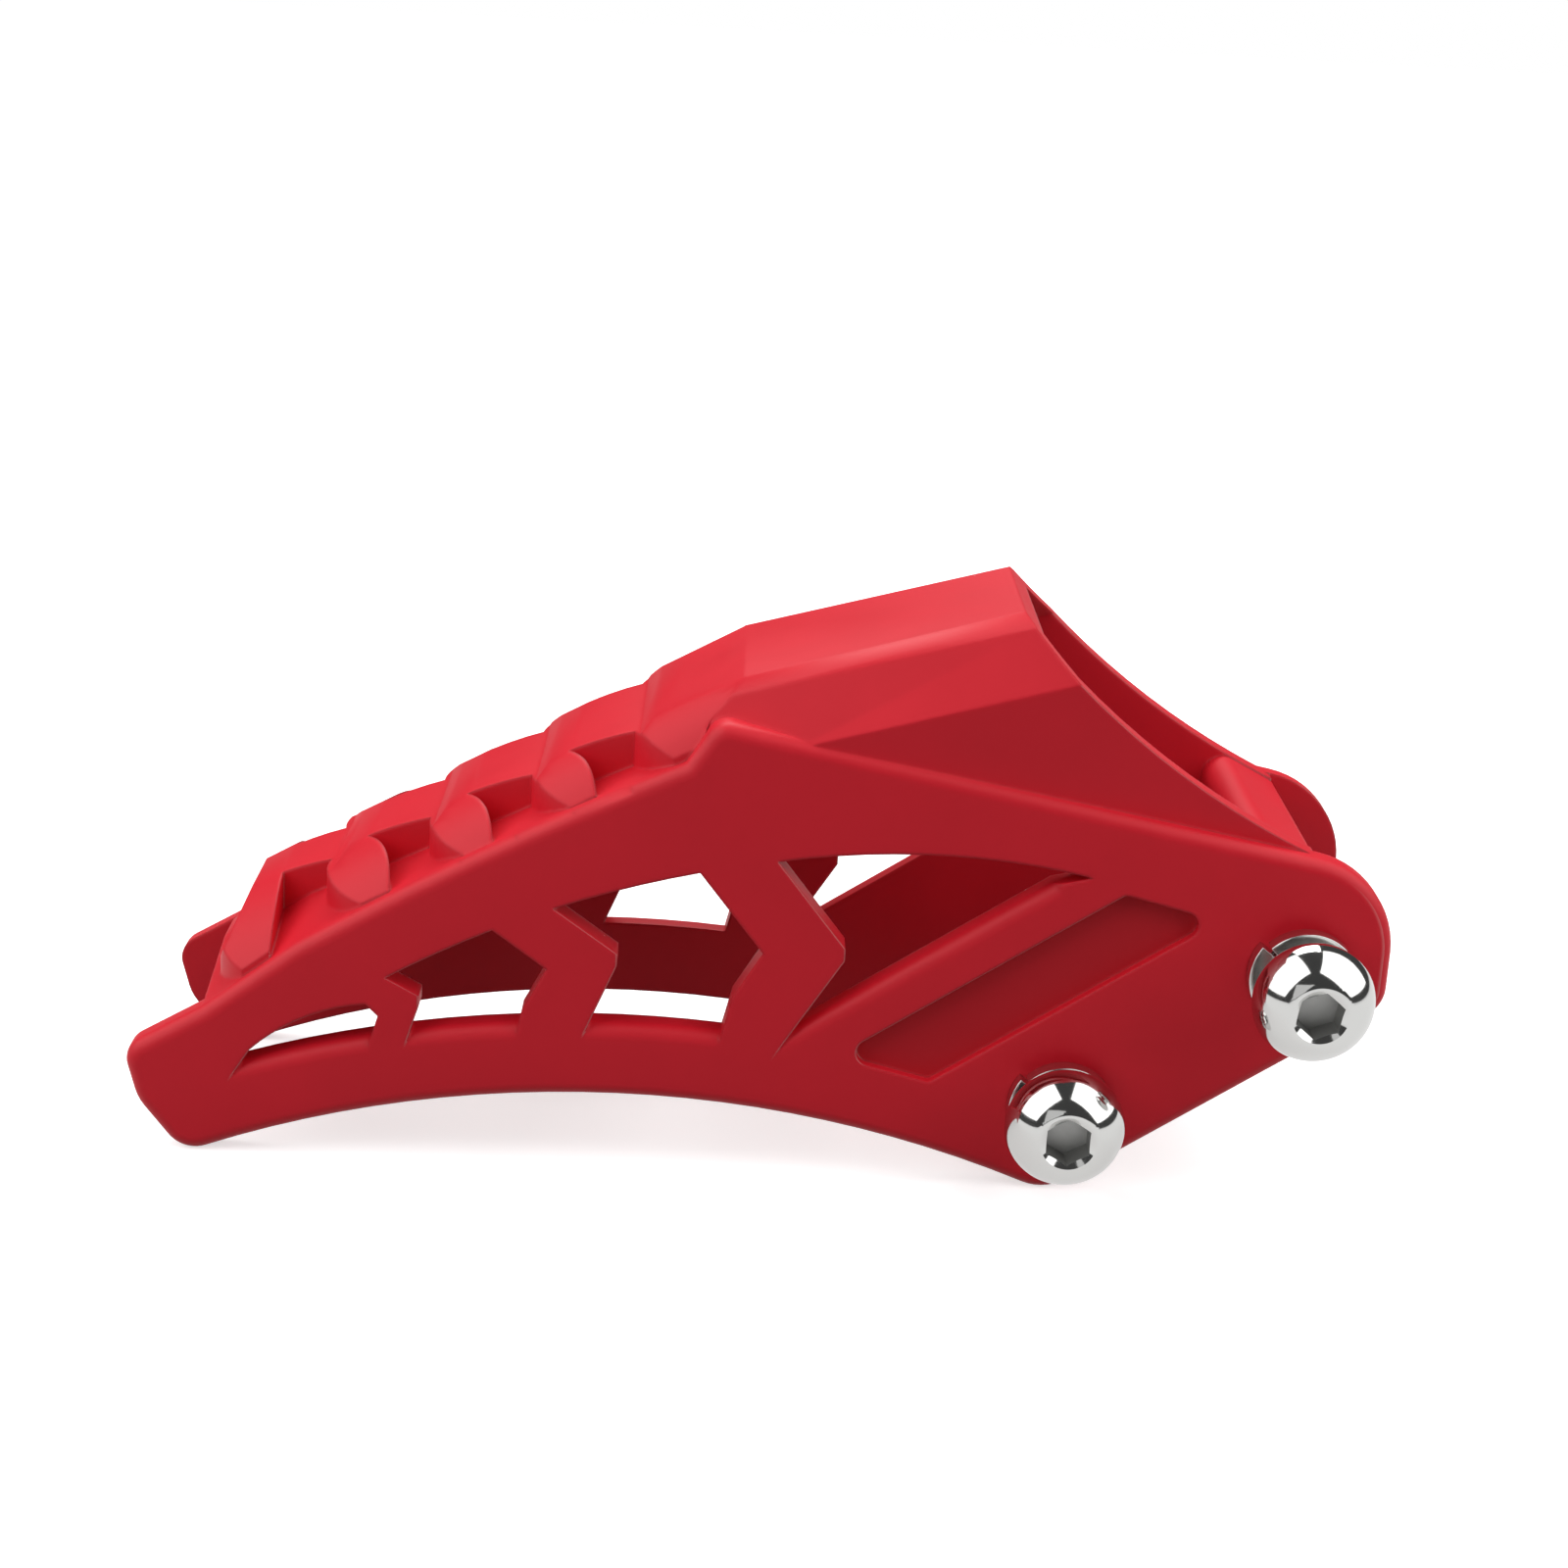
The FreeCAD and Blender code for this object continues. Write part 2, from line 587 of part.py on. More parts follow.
def add_recess(body):
    """A slanted sunken panel in the outer face of each cheek."""
    low = size("recess_low")
    high = low + size("recess_height")
    start = size("recess_start")
    end = start + size("recess_length")
    skew = size("recess_skew")
    places = [from_bolts(start - skew, high), from_bolts(end - skew, high),
              from_bolts(end, low), from_bolts(start, low)]
    for side, offset, backwards in (("near", HALF, False), ("far", -HALF, True)):
        sketch = new_sketch(body, side + "_panel_outline", "XZ_Plane", offset)
        add_outline(sketch, [Corner(x, z) for x, z in places])
        last = swept(body, "Pocket", side + "_panel", sketch, size("recess_depth"),
                     symmetric=False, backwards=backwards)
    corners = [Corner(x, z) for x, z in places]
    for name, ends in (("sharp", corners[0::2]), ("blunt", corners[1::2])):
        last = rounded(body, name + "_panel_rounding", last, at_corner(*ends),
                       size("recess_%s_round" % name))


def add_bores(body):
    sketch = new_sketch(body, "bore_circles", "XZ_Plane")
    radius = size("bolt_diameter") / 2 + size("bore_clearance")
    for x, z in BOLTS.values():
        add_circle(sketch, x, z, radius)
    swept(body, "Pocket", "bores", sketch, WIDTH)


def lofted(body, name, sections):
    """A straight-sided loft through closed outlines that stand across the guide."""
    sketches = []
    for number, (station, corners) in enumerate(sections, start=1):
        sketch = new_sketch(body, "%s_section_%d" % (name, number), "YZ_Plane", station)
        add_outline(sketch, corners)
        sketch.Visibility = False
        sketches.append(sketch)
    loft = body.newObject("PartDesign::AdditiveLoft", name)
    loft.Profile = sketches[0]
    loft.Sections = sketches[1:]
    loft.Ruled = True
    doc.recompute()
    return loft


def mirrored(corners):
    """Completes an outline whose right half is given from bottom to top."""
    other = [Corner(-c.across, c.up) for c in reversed(corners)]
    bends = [c.bend for c in reversed(corners[:-1])]
    other = [c._replace(bend=b) for c, b in zip(other, bends + [None])]
    return corners + other


def add_deck(body):
    """The cambered roof, highest at the leading edge and flat where the camber ends."""
    ridge_half_width = size("deck_ridge")
    start_x = size("roof_start_x")
    end_x = size("deck_end_x")
    fade = (end_x - size("knee_x")) / (end_x - start_x)
    stations = [
        (start_x, size("roof_start_z"), size("deck_rise")),
        (size("knee_x"), size("knee_z"), size("deck_rise") * fade),
        (end_x, shoulder(end_x, 1.0), size("deck_rise") * 0.05),
    ]
    sections = []
    for x, base, rise in stations:
        low = base - size("deck_wall") / 2
        sections.append((x, mirrored([
            Corner(FOOT, low),
            Corner(FOOT, base),
            Corner(ridge_half_width, base + rise),
        ])))
    lofted(body, "deck", sections)


def make_channel():
    body = new_body("channel_form")
    add_cheek_block(body)
    cut_channel(body)
    add_windows(body)
    add_recess(body)
    add_bores(body)
    add_deck(body)
    return body


def make_ridge_section():
    """The back's cross section: a flat ridge with domed sides, wider towards the hood."""
    body = new_body("ridge_section")
    hood_x = size("hood_front_x")
    stations = [
        (size("roof_start_x"), size("roof_start_z")),
        (size("knee_x"), size("knee_z")),
        (hood_x, shoulder(hood_x)),
    ]
    sections = []
    for number, (x, base) in enumerate(stations, start=1):
        half = worked_out("scale_half_%d" % number, ridge_half(x))
        lip = base + size("scale_lip")
        rise = worked_out("scale_rise_%d" % number, ridge(x) - lip)
        slant = root((FOOT - half) * (FOOT - half) + rise * rise)
        sections.append((x, mirrored([
            Corner(FOOT, base - size("deck_wall") / 2),
            Corner(FOOT, lip, -slant * size("scale_dome")),
            Corner(half, lip + rise),
        ])))
    lofted(body, "ridge_loft", sections)
    return body


def make_ridge_side():
    """The back seen from the side: four scales, each a step above the end of the last."""
    body = new_body("ridge_side")
    front = size("ridge_front_x")
    front_z = size("roof_start_z") + size("ridge_front_low")
    sink = size("deck_wall") / 2
    step = size("scale_step")
    run = size("scale_run")
    corners = [
        Corner(front, front_z - sink),
        Corner(front, size("roof_start_z") + size("ridge_front_rise")),
    ]
    length = size("scale_pitch") - run
    top_radius = length * length / (size("scale_bow") * 8)
    for number in range(4):
        start = size("scale_first_x") + size("scale_pitch") * number
        end = start + length
        corners.append(Corner(start, ridge(start), top_radius))
        corners.append(Corner(end, ridge(end) - step))
    start = size("scale_first_x") + size("scale_pitch") * 4
    corners += [
        Corner(start, ridge(start)),
        Corner(size("hood_front_x"), HOOD_FRONT_Z),
        HOOD_FOOT,
        Corner(size("roof_end_x"), size("roof_end_z") - sink),
        Corner(size("knee_x"), size("knee_z") - sink),
    ]
    sketch = new_sketch(body, "ridge_side_outline", "XZ_Plane")
    add_outline(sketch, corners)
    swept(body, "Pad", "ridge_side_pad", sketch, WIDTH)
    return body


def make_pocket_cutters():
    """What is taken away ahead of each scale and of the hood, on both sides of the ridge."""
    body = new_body("pocket_cutters")
    outside = HALF + size("rim_round")
    tip_half = HALF - size("rim_round") / 2
    gaps = {0: size("pocket_gap"), 1: size("pocket_first_gap")}
    for number in range(5):
        rear_root = size("scale_first_x") + size("scale_pitch") * number - size("pocket_lead")
        front_root = rear_root - gaps.get(number, size("pocket_gap"))
        tip = rear_root + size("first_sweep" if number == 0 else "pocket_sweep")
        previous_tip = tip - size("scale_pitch")
        front_bend = -size("pocket_rear_radius")
        if number < 2:
            previous_tip = front_root + size("pocket_first_slant")
            front_bend = None
        sketch = new_sketch(body, "pocket_%d_outline" % number, "XY_Plane")
        add_outline(sketch, [
            Corner(previous_tip, tip_half),
            Corner(previous_tip, outside),
            Corner(tip, outside),
            Corner(tip, tip_half, -size("pocket_front_radius")),
            Corner(rear_root, ridge_half(rear_root)),
            Corner(front_root, ridge_half(front_root), front_bend),
        ])
        swept(body, "Pad", "pocket_%d" % number, sketch, HOOD_TOP_Z, symmetric=False)
    other_side = body.newObject("PartDesign::Mirrored", "other_side")
    other_side.Originals = [item for item in body.Group if item.TypeId == "PartDesign::Pad"]
    other_side.MirrorPlane = (origin_feature(body, "XZ_Plane"), [""])
    body.Tip = other_side
    doc.recompute()
    return body


def mouth_centre():
    """The centre of the arc of the hood's hollow rear edge."""
    run = HOOD_REAR.across - size("hood_top_x")
    fall = HOOD_TOP_Z - HOOD_REAR.up
    chord = worked_out("mouth_chord_squared", run * run + fall * fall)
    radius = size("mouth_radius")
    reach = worked_out("mouth_reach", root((radius * radius - chord / 4) / chord))
    return (worked_out("mouth_x", (HOOD_REAR.across + size("hood_top_x")) / 2 + fall * reach),
            worked_out("mouth_z", (HOOD_REAR.up + HOOD_TOP_Z) / 2 + run * reach))


def below_mouth(x, centre, drop):
    """The height at x of the line that follows the mouth's arc, a drop below it."""
    radius = size("mouth_radius") + drop
    offset = x - centre[0]
    return centre[1] - root(radius * radius - offset * offset)


def make_bridge():
    """The cross wall that closes the lower end of the mouth."""
    body = new_body("bridge")
    rear = HOOD_REAR.across
    front = rear - size("bridge_length")
    drop = size("bridge_drop")
    centre = mouth_centre()
    low = HOOD_REAR.up - size("bridge_depth")
    corners = [
        Corner(front, low),
        Corner(front, below_mouth(front, centre, drop)),
        Corner(rear, below_mouth(rear, centre, drop)),
        Corner(rear, low),
    ]
    sketch = new_sketch(body, "bridge_outline", "XZ_Plane")
    add_outline(sketch, corners)
    bridge = swept(body, "Pad", "bridge_pad", sketch, GAP + size("bridge_root"))
    rounded(body, "bridge_rounding", bridge, at_corner(corners[1]), size("bridge_round"))
    return body


def hood_line(x):
    """The height at x of the hood's sloping top."""
    run = size("hood_top_x") - size("hood_front_x")
    return HOOD_FRONT_Z + (x - size("hood_front_x")) * size("hood_climb") / run


def make_hood_section(name, inset):
    """The hood's cross section along its top, or the hollow an inset inside it."""
    body = new_body(name)
    widest = HALF - size("hood_inset") - inset
    depth = HOOD_TOP_Z - size("roof_start_z")
    foot = widest - (depth - size("bevel_down")) * size("hood_lean")
    top = widest - size("bevel_across") + inset / 2
    sections = []
    for x in (size("roof_start_x"), TAIL_X):
        sections.append((x, mirrored([
            Corner(foot, hood_line(x) - depth),
            Corner(widest, hood_line(x) - size("bevel_down")),
            Corner(top, hood_line(x) - inset),
        ])))
    lofted(body, name + "_loft", sections)
    return body


def make_hood_side():
    """The hood seen from the side, with its hollow rear edge."""
    body = new_body("hood_side")
    root_depth = size("hood_root")
    sketch = new_sketch(body, "hood_outline", "XZ_Plane")
    add_outline(sketch, [
        Corner(size("roof_end_x") + size("rim_round") / 2, size("roof_end_z") - root_depth),
        HOOD_FOOT,
        Corner(size("hood_front_x"), HOOD_FRONT_Z),
        Corner(size("hood_top_x"), HOOD_TOP_Z, -size("mouth_radius")),
        HOOD_REAR,
        Corner(HOOD_REAR.across, HOOD_REAR.up - root_depth),
        Corner(PEAK.across, PEAK.up - root_depth - size("rim_round") / 2),
    ])
    swept(body, "Pad", "hood_pad", sketch, WIDTH)
    return body


def make_hood_hollow():
    """Where the hood is hollow, seen from the side."""
    body = new_body("hood_hollow_side")
    foot_x = PEAK.across + size("hood_wall") / 2
    start_x = size("hood_front_x") + size("cavity_lag")
    sketch = new_sketch(body, "hood_hollow_outline", "XZ_Plane")
    add_outline(sketch, [
        Corner(foot_x, size("roof_start_z")),
        Corner(foot_x, PEAK.up - size("hood_root")),
        Corner(start_x, hood_line(start_x)),
        Corner(TAIL_X, hood_line(TAIL_X)),
        Corner(TAIL_X, size("roof_start_z")),
    ])
    swept(body, "Pad", "hood_hollow_pad", sketch, WIDTH)
    return body


def make_hood():
    """The bevelled hood over the rear of the channel, open at its hollow rear edge."""
    outer = make_hood_section("hood_section", as_size(0.0))
    inner = make_hood_section("hood_hollow_section", size("hood_wall"))
    side = make_hood_side()
    hollow_side = make_hood_hollow()
    hood = doc.addObject("Part::Cut", "hood")
    hood.Base = combined("MultiCommon", "hood_blank", [outer, side])
    hood.Tool = combined("MultiCommon", "hood_hollow", [inner, hollow_side])
    return hood


def combined(kind, name, shapes):
    feature = doc.addObject("Part::" + kind, name)
    feature.Shapes = shapes
    return feature


def make_guide_body():
    """Joins the moulded forms into the one-piece guide."""
    channel = make_channel()
    section = make_ridge_section()
    side = make_ridge_side()
    cutters = make_pocket_cutters()
    bridge = make_bridge()
    hood = make_hood()
    scales = doc.addObject("Part::Cut", "scales")
    scales.Base = combined("MultiCommon", "ridge_blank", [section, side])
    scales.Tool = cutters
    guide = combined("MultiFuse", "guide_body", [channel, scales, hood, bridge])
    guide.Refine = True
    guide.Label = "guide_body"
    lift = size("stand_lift")
    guide.Placement.Base = FreeCAD.Vector(-MIDDLE_X.value, 0, lift.value)
    guide.setExpression(".Placement.Base.x", (-MIDDLE_X).text)
    guide.setExpression(".Placement.Base.z", lift.text)
    doc.recompute()
    return guide


def turned(body, name, profile):
    """A round form about the body's own Z axis."""
    sketch = new_sketch(body, name + "_profile", "XZ_Plane")
    add_outline(sketch, profile)
    feature = body.newObject("PartDesign::Revolution", name)
    feature.Profile = sketch
    feature.ReferenceAxis = (origin_feature(body, "Z_Axis"), [""])
    feature.Angle = 360.0
    sketch.Visibility = False
    doc.recompute()
    return feature


def hexagon(sketch, flats, start_angle):
    """A hexagon about the sketch's origin, its corners worked out from the flats."""
    reach = flats / math.sqrt(3)
    corners = []
    for number in range(6):
        angle = math.radians(start_angle + 60 * number)
        corners.append(Corner(reach * math.cos(angle), reach * math.sin(angle)))
    add_outline(sketch, corners)


def on_bolt_line(body, which, y, turn=0):
    """Sets a piece on a bolt's axis, its own Z axis pointing to the far side."""
    x, z = BOLTS[which]
    x = x - MIDDLE_X
    z = z + size("stand_lift")
    lying = FreeCAD.Rotation(FreeCAD.Vector(1, 0, 0), -90)
    turned_round = FreeCAD.Rotation(FreeCAD.Vector(0, 0, 1), turn)
    body.Placement = FreeCAD.Placement(
        FreeCAD.Vector(x.value, y.value, z.value), lying.multiply(turned_round))
    for axis, amount in (("x", x), ("y", y), ("z", z)):
        body.setExpression(".Placement.Base.%s" % axis, amount.text)
    body.Label = body.Name


WASHER_HEIGHT = size("washer_section") + size("washer_rise")
WASHER_SPLIT = 225


def make_bolt(which, stand_off, socket_turn):
    """A dome head bolt: its bearing face lies at its own Z = 0."""
    body = new_body(which + "_bolt")
    shank = size("bolt_diameter") / 2
    length = size("bolt_length")
    point = size("point_chamfer")
    height = size("head_height")
    widest = size("head_widest")
    head = size("head_diameter") / 2
    axis = as_size(0.0)
    turned(body, "turned_form", [
        Corner(axis, -height),
        Corner(axis, length),
        Corner(shank - point, length),
        Corner(shank, length - point),
        Corner(shank, axis),
        Corner(size("head_bearing") / 2, axis, size("head_under_radius")),
        Corner(head, -widest, size("head_dome_radius")),
        Corner(size("head_flat") / 2, -height),
    ])
    countersink = (size("socket_mouth") - size("socket_flats")) / 3
    sketch = new_sketch(body, "socket_outline", "XY_Plane", -height)
    hexagon(sketch, size("socket_flats"), 90 + socket_turn)
    socket = swept(body, "Pocket", "socket", sketch, size("socket_depth"), symmetric=False,
                   backwards=True)
    groove_sketch = new_sketch(body, "countersink_profile", "XZ_Plane")
    add_outline(groove_sketch, [
        Corner(axis, -height),
        Corner(size("socket_mouth") / 2, -height),
        Corner(size("socket_flats") / 2, -height + countersink),
        Corner(axis, -height + countersink),
    ])
    groove = body.newObject("PartDesign::Groove", "countersink")
    groove.Profile = groove_sketch
    groove.ReferenceAxis = (origin_feature(body, "Z_Axis"), [""])
    groove.Angle = 360.0
    doc.recompute()
    if not groove.Shape.Volume < socket.Shape.Volume:
        raise RuntimeError("the countersink of %s cuts nothing" % body.Name)
    on_bolt_line(body, which, -HALF - WASHER_HEIGHT - stand_off)
    return body


def make_spring_washer(which):
    """A split ring of square wire that rises by its own height over one turn."""
    body = new_body(which + "_spring_washer")
    section = size("washer_section")
    inner = size("bolt_diameter") / 2 + size("washer_clearance")
    axis = as_size(0.0)
    sketch = new_sketch(body, "wire_section", "XZ_Plane")
    add_outline(sketch, [
        Corner(inner, axis),
        Corner(inner + section, axis),
        Corner(inner + section, section),
        Corner(inner, section),
    ])
    coil = body.newObject("PartDesign::AdditiveHelix", "coil")
    coil.Profile = sketch
    coil.ReferenceAxis = (origin_feature(body, "Z_Axis"), [""])
    coil.Mode = "pitch-height-angle"
    turns = size("washer_turn") / 360
    rise = size("washer_rise")
    for name, amount in (("Pitch", rise / turns), ("Height", rise)):
        setattr(coil, name, amount.value)
        coil.setExpression(name, amount.text)
    doc.recompute()
    on_bolt_line(body, which, -HALF - WASHER_HEIGHT, WASHER_SPLIT)
    return body


def make_nut(which):
    body = new_body(which + "_nut")
    flats = size("nut_flats")
    height = size("nut_height")
    sketch = new_sketch(body, "nut_outline", "XY_Plane")
    hexagon(sketch, flats, 0)
    add_circle(sketch, as_size(0.0), as_size(0.0),
               size("bolt_diameter") / 2 + size("thread_clearance"))
    swept(body, "Pad", "nut_pad", sketch, height, symmetric=False)
    outside = flats
    start = size("nut_face") / 2
    slope = sine(size("nut_chamfer")) / cosine(size("nut_chamfer"))
    fall = (outside - start) * slope
    for name, face, way in (("under", as_size(0.0), 1), ("outer", height, -1)):
        groove_sketch = new_sketch(body, name + "_chamfer_profile", "XZ_Plane")
        add_outline(groove_sketch, [
            Corner(start, face),
            Corner(outside, face),
            Corner(outside, face + fall * way),
        ])
        groove = body.newObject("PartDesign::Groove", name + "_chamfer")
        groove.Profile = groove_sketch
        groove.ReferenceAxis = (origin_feature(body, "Z_Axis"), [""])
        groove.Angle = 360.0
        doc.recompute()
    on_bolt_line(body, which, HALF)
    return body


def make_parts():
    parts = [make_guide_body()]
    parts.append(make_bolt("lower", as_size(0.0), 0))
    parts.append(make_bolt("upper", size("upper_stand_off"), 9))
    for which in BOLTS:
        parts.append(make_spring_washer(which))
        parts.append(make_nut(which))
    doc.recompute()
    return parts


def check(parts):
    for item in doc.Objects:
        if "Invalid" in item.State or "Error" in item.State:
            raise RuntimeError("%s did not compute: %s" % (item.Name, item.State))
    for part in parts:
        if part.Shape.isNull() or not part.Shape.isValid():
            raise RuntimeError("%s has no valid shape" % part.Label)
        if len(part.Shape.Solids) != 1:
            raise RuntimeError("%s has %d solids" % (part.Label, len(part.Shape.Solids)))


parts = make_parts()
check(parts)
os.makedirs("parts", exist_ok=True)
for part in parts:
    part.Shape.exportStep("parts/%s.step" % part.Label)
    box = part.Shape.BoundBox
    print("%-22s %9.1f mm3  X %.2f..%.2f  Y %.2f..%.2f  Z %.2f..%.2f" % (
        part.Label, part.Shape.Volume, box.XMin, box.XMax, box.YMin, box.YMax,
        box.ZMin, box.ZMax))
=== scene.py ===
import math

import bmesh
import bpy
from bpy.props import FloatProperty, FloatVectorProperty, PointerProperty
from mathutils import Matrix, Vector


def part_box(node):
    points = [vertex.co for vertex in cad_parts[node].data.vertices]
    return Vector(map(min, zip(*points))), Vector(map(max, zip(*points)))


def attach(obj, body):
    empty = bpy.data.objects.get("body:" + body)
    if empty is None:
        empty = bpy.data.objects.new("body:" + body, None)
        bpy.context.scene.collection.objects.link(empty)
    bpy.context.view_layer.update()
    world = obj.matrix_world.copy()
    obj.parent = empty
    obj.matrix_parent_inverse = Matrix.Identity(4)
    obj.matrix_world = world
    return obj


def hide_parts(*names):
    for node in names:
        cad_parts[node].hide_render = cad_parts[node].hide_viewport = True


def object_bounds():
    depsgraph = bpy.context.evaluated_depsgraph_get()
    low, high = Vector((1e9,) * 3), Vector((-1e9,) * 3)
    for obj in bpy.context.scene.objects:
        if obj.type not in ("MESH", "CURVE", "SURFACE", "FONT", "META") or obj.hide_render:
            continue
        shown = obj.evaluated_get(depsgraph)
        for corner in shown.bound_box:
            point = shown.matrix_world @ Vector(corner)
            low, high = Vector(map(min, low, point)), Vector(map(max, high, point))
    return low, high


bl_info = {
    "name": "Motorcycle chain guide",
    "version": (1, 0, 0),
    "blender": (4, 5, 0),
    "location": "3D View > Sidebar > Chain Guide",
    "description": "Dresses the packed chain guide with its moulded skin, bolts and stage",
    "category": "Object",
}

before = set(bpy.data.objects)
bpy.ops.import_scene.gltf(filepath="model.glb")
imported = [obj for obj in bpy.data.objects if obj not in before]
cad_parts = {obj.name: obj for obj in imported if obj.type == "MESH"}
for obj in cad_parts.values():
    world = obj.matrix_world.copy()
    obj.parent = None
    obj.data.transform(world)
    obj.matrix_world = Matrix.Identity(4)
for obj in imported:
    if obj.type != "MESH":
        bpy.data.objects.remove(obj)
CAD_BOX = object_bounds()
MM = 0.001

# Of the edges that run along the guide and face up, only those of the hood's roof are longer
# than this and turn by more than this angle, in radians.
HOOD_EDGE_LEAST = 2 * MM
HOOD_EDGE_TURN = 0.7
ROUNDING_STEPS = 5

# A socket is bare from this far below the top of the head, just under its countersink.
CHROME_DEPTH = 0.55 * MM

# The thread runs from the head's bearing face and stops this far short of the bolt's point.
BARE_POINT = 0.5 * MM
RINGS_PER_TURN = 8

# The plain shank keeps inside the thread, at this share of the radius at the thread's roots.
CORE_SHARE = 0.97

# Half a hexagon's width across its corners, as a share of its width across flats, rounded up.
HALF_CORNERS = 0.6

# The thread has a hidden cap at the bearing face. This far from it nothing counts as socket.
CAP_MARGIN = 0.1 * MM


# Helpers

def linear(hex_colour):
    """Turns an sRGB hex colour into linear red, green and blue."""
    channels = [int(hex_colour[i:i + 2], 16) / 255 for i in (1, 3, 5)]
    return tuple(c / 12.92 if c <= 0.04045 else ((c + 0.055) / 1.055) ** 2.4 for c in channels)


def add_node(tree, kind, links=None, **settings):
    """Adds a node with its settings. Links go from input names or numbers to sockets or values."""
    node = tree.nodes.new(kind)
    for name, value in settings.items():
        setattr(node, name, value)
    for key, value in (links or {}).items():
        socket = node.inputs[key]
        if isinstance(value, bpy.types.NodeSocket):
            tree.links.new(value, socket)
        else:
            socket.default_value = value
    return node


def new_material(name):
    """An empty node material and its tree."""
    material = bpy.data.materials.new(name)
    material.use_nodes = True
    material.node_tree.nodes.clear()
    return material, material.node_tree


def finish_material(tree, surface):
    """Joins a shader to the material's output."""
    add_node(tree, "ShaderNodeOutputMaterial", {"Surface": surface})


def new_object(name, mesh):
    """Puts a mesh into the scene as a piece that stands at the origin."""
    piece = bpy.data.objects.new(name, mesh)
    bpy.context.scene.collection.objects.link(piece)
    return piece


def merged_copy(node, name):
    """A copy of a CAD node's mesh, its loose triangles joined into one skin."""
    shell = bmesh.new()
    shell.from_mesh(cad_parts[node].data)
    bmesh.ops.remove_doubles(shell, verts=shell.verts, dist=1e-6)
    bmesh.ops.recalc_face_normals(shell, faces=shell.faces)
    shell.verts.index_update()
    mesh = bpy.data.meshes.new(name)
    mesh.from_pydata([vertex.co for vertex in shell.verts], [],
                     [[vertex.index for vertex in face.verts] for face in shell.faces])
    shell.free()
    return new_object(name, mesh)


def bake_modifiers(piece):
    """Replaces a piece's mesh with its evaluated mesh and takes the modifiers off."""
    depsgraph = bpy.context.evaluated_depsgraph_get()
    mesh = bpy.data.meshes.new_from_object(piece.evaluated_get(depsgraph))
    old = piece.data
    piece.modifiers.clear()
    piece.data = mesh
    mesh.name = piece.name
    bpy.data.meshes.remove(old)


def smooth(piece, angle=math.radians(30)):
    """Shades a piece smooth, with creases where faces meet at more than an angle."""
    for polygon in piece.data.polygons:
        polygon.use_smooth = True
    piece.data.set_sharp_from_angle(angle=angle)


# Materials

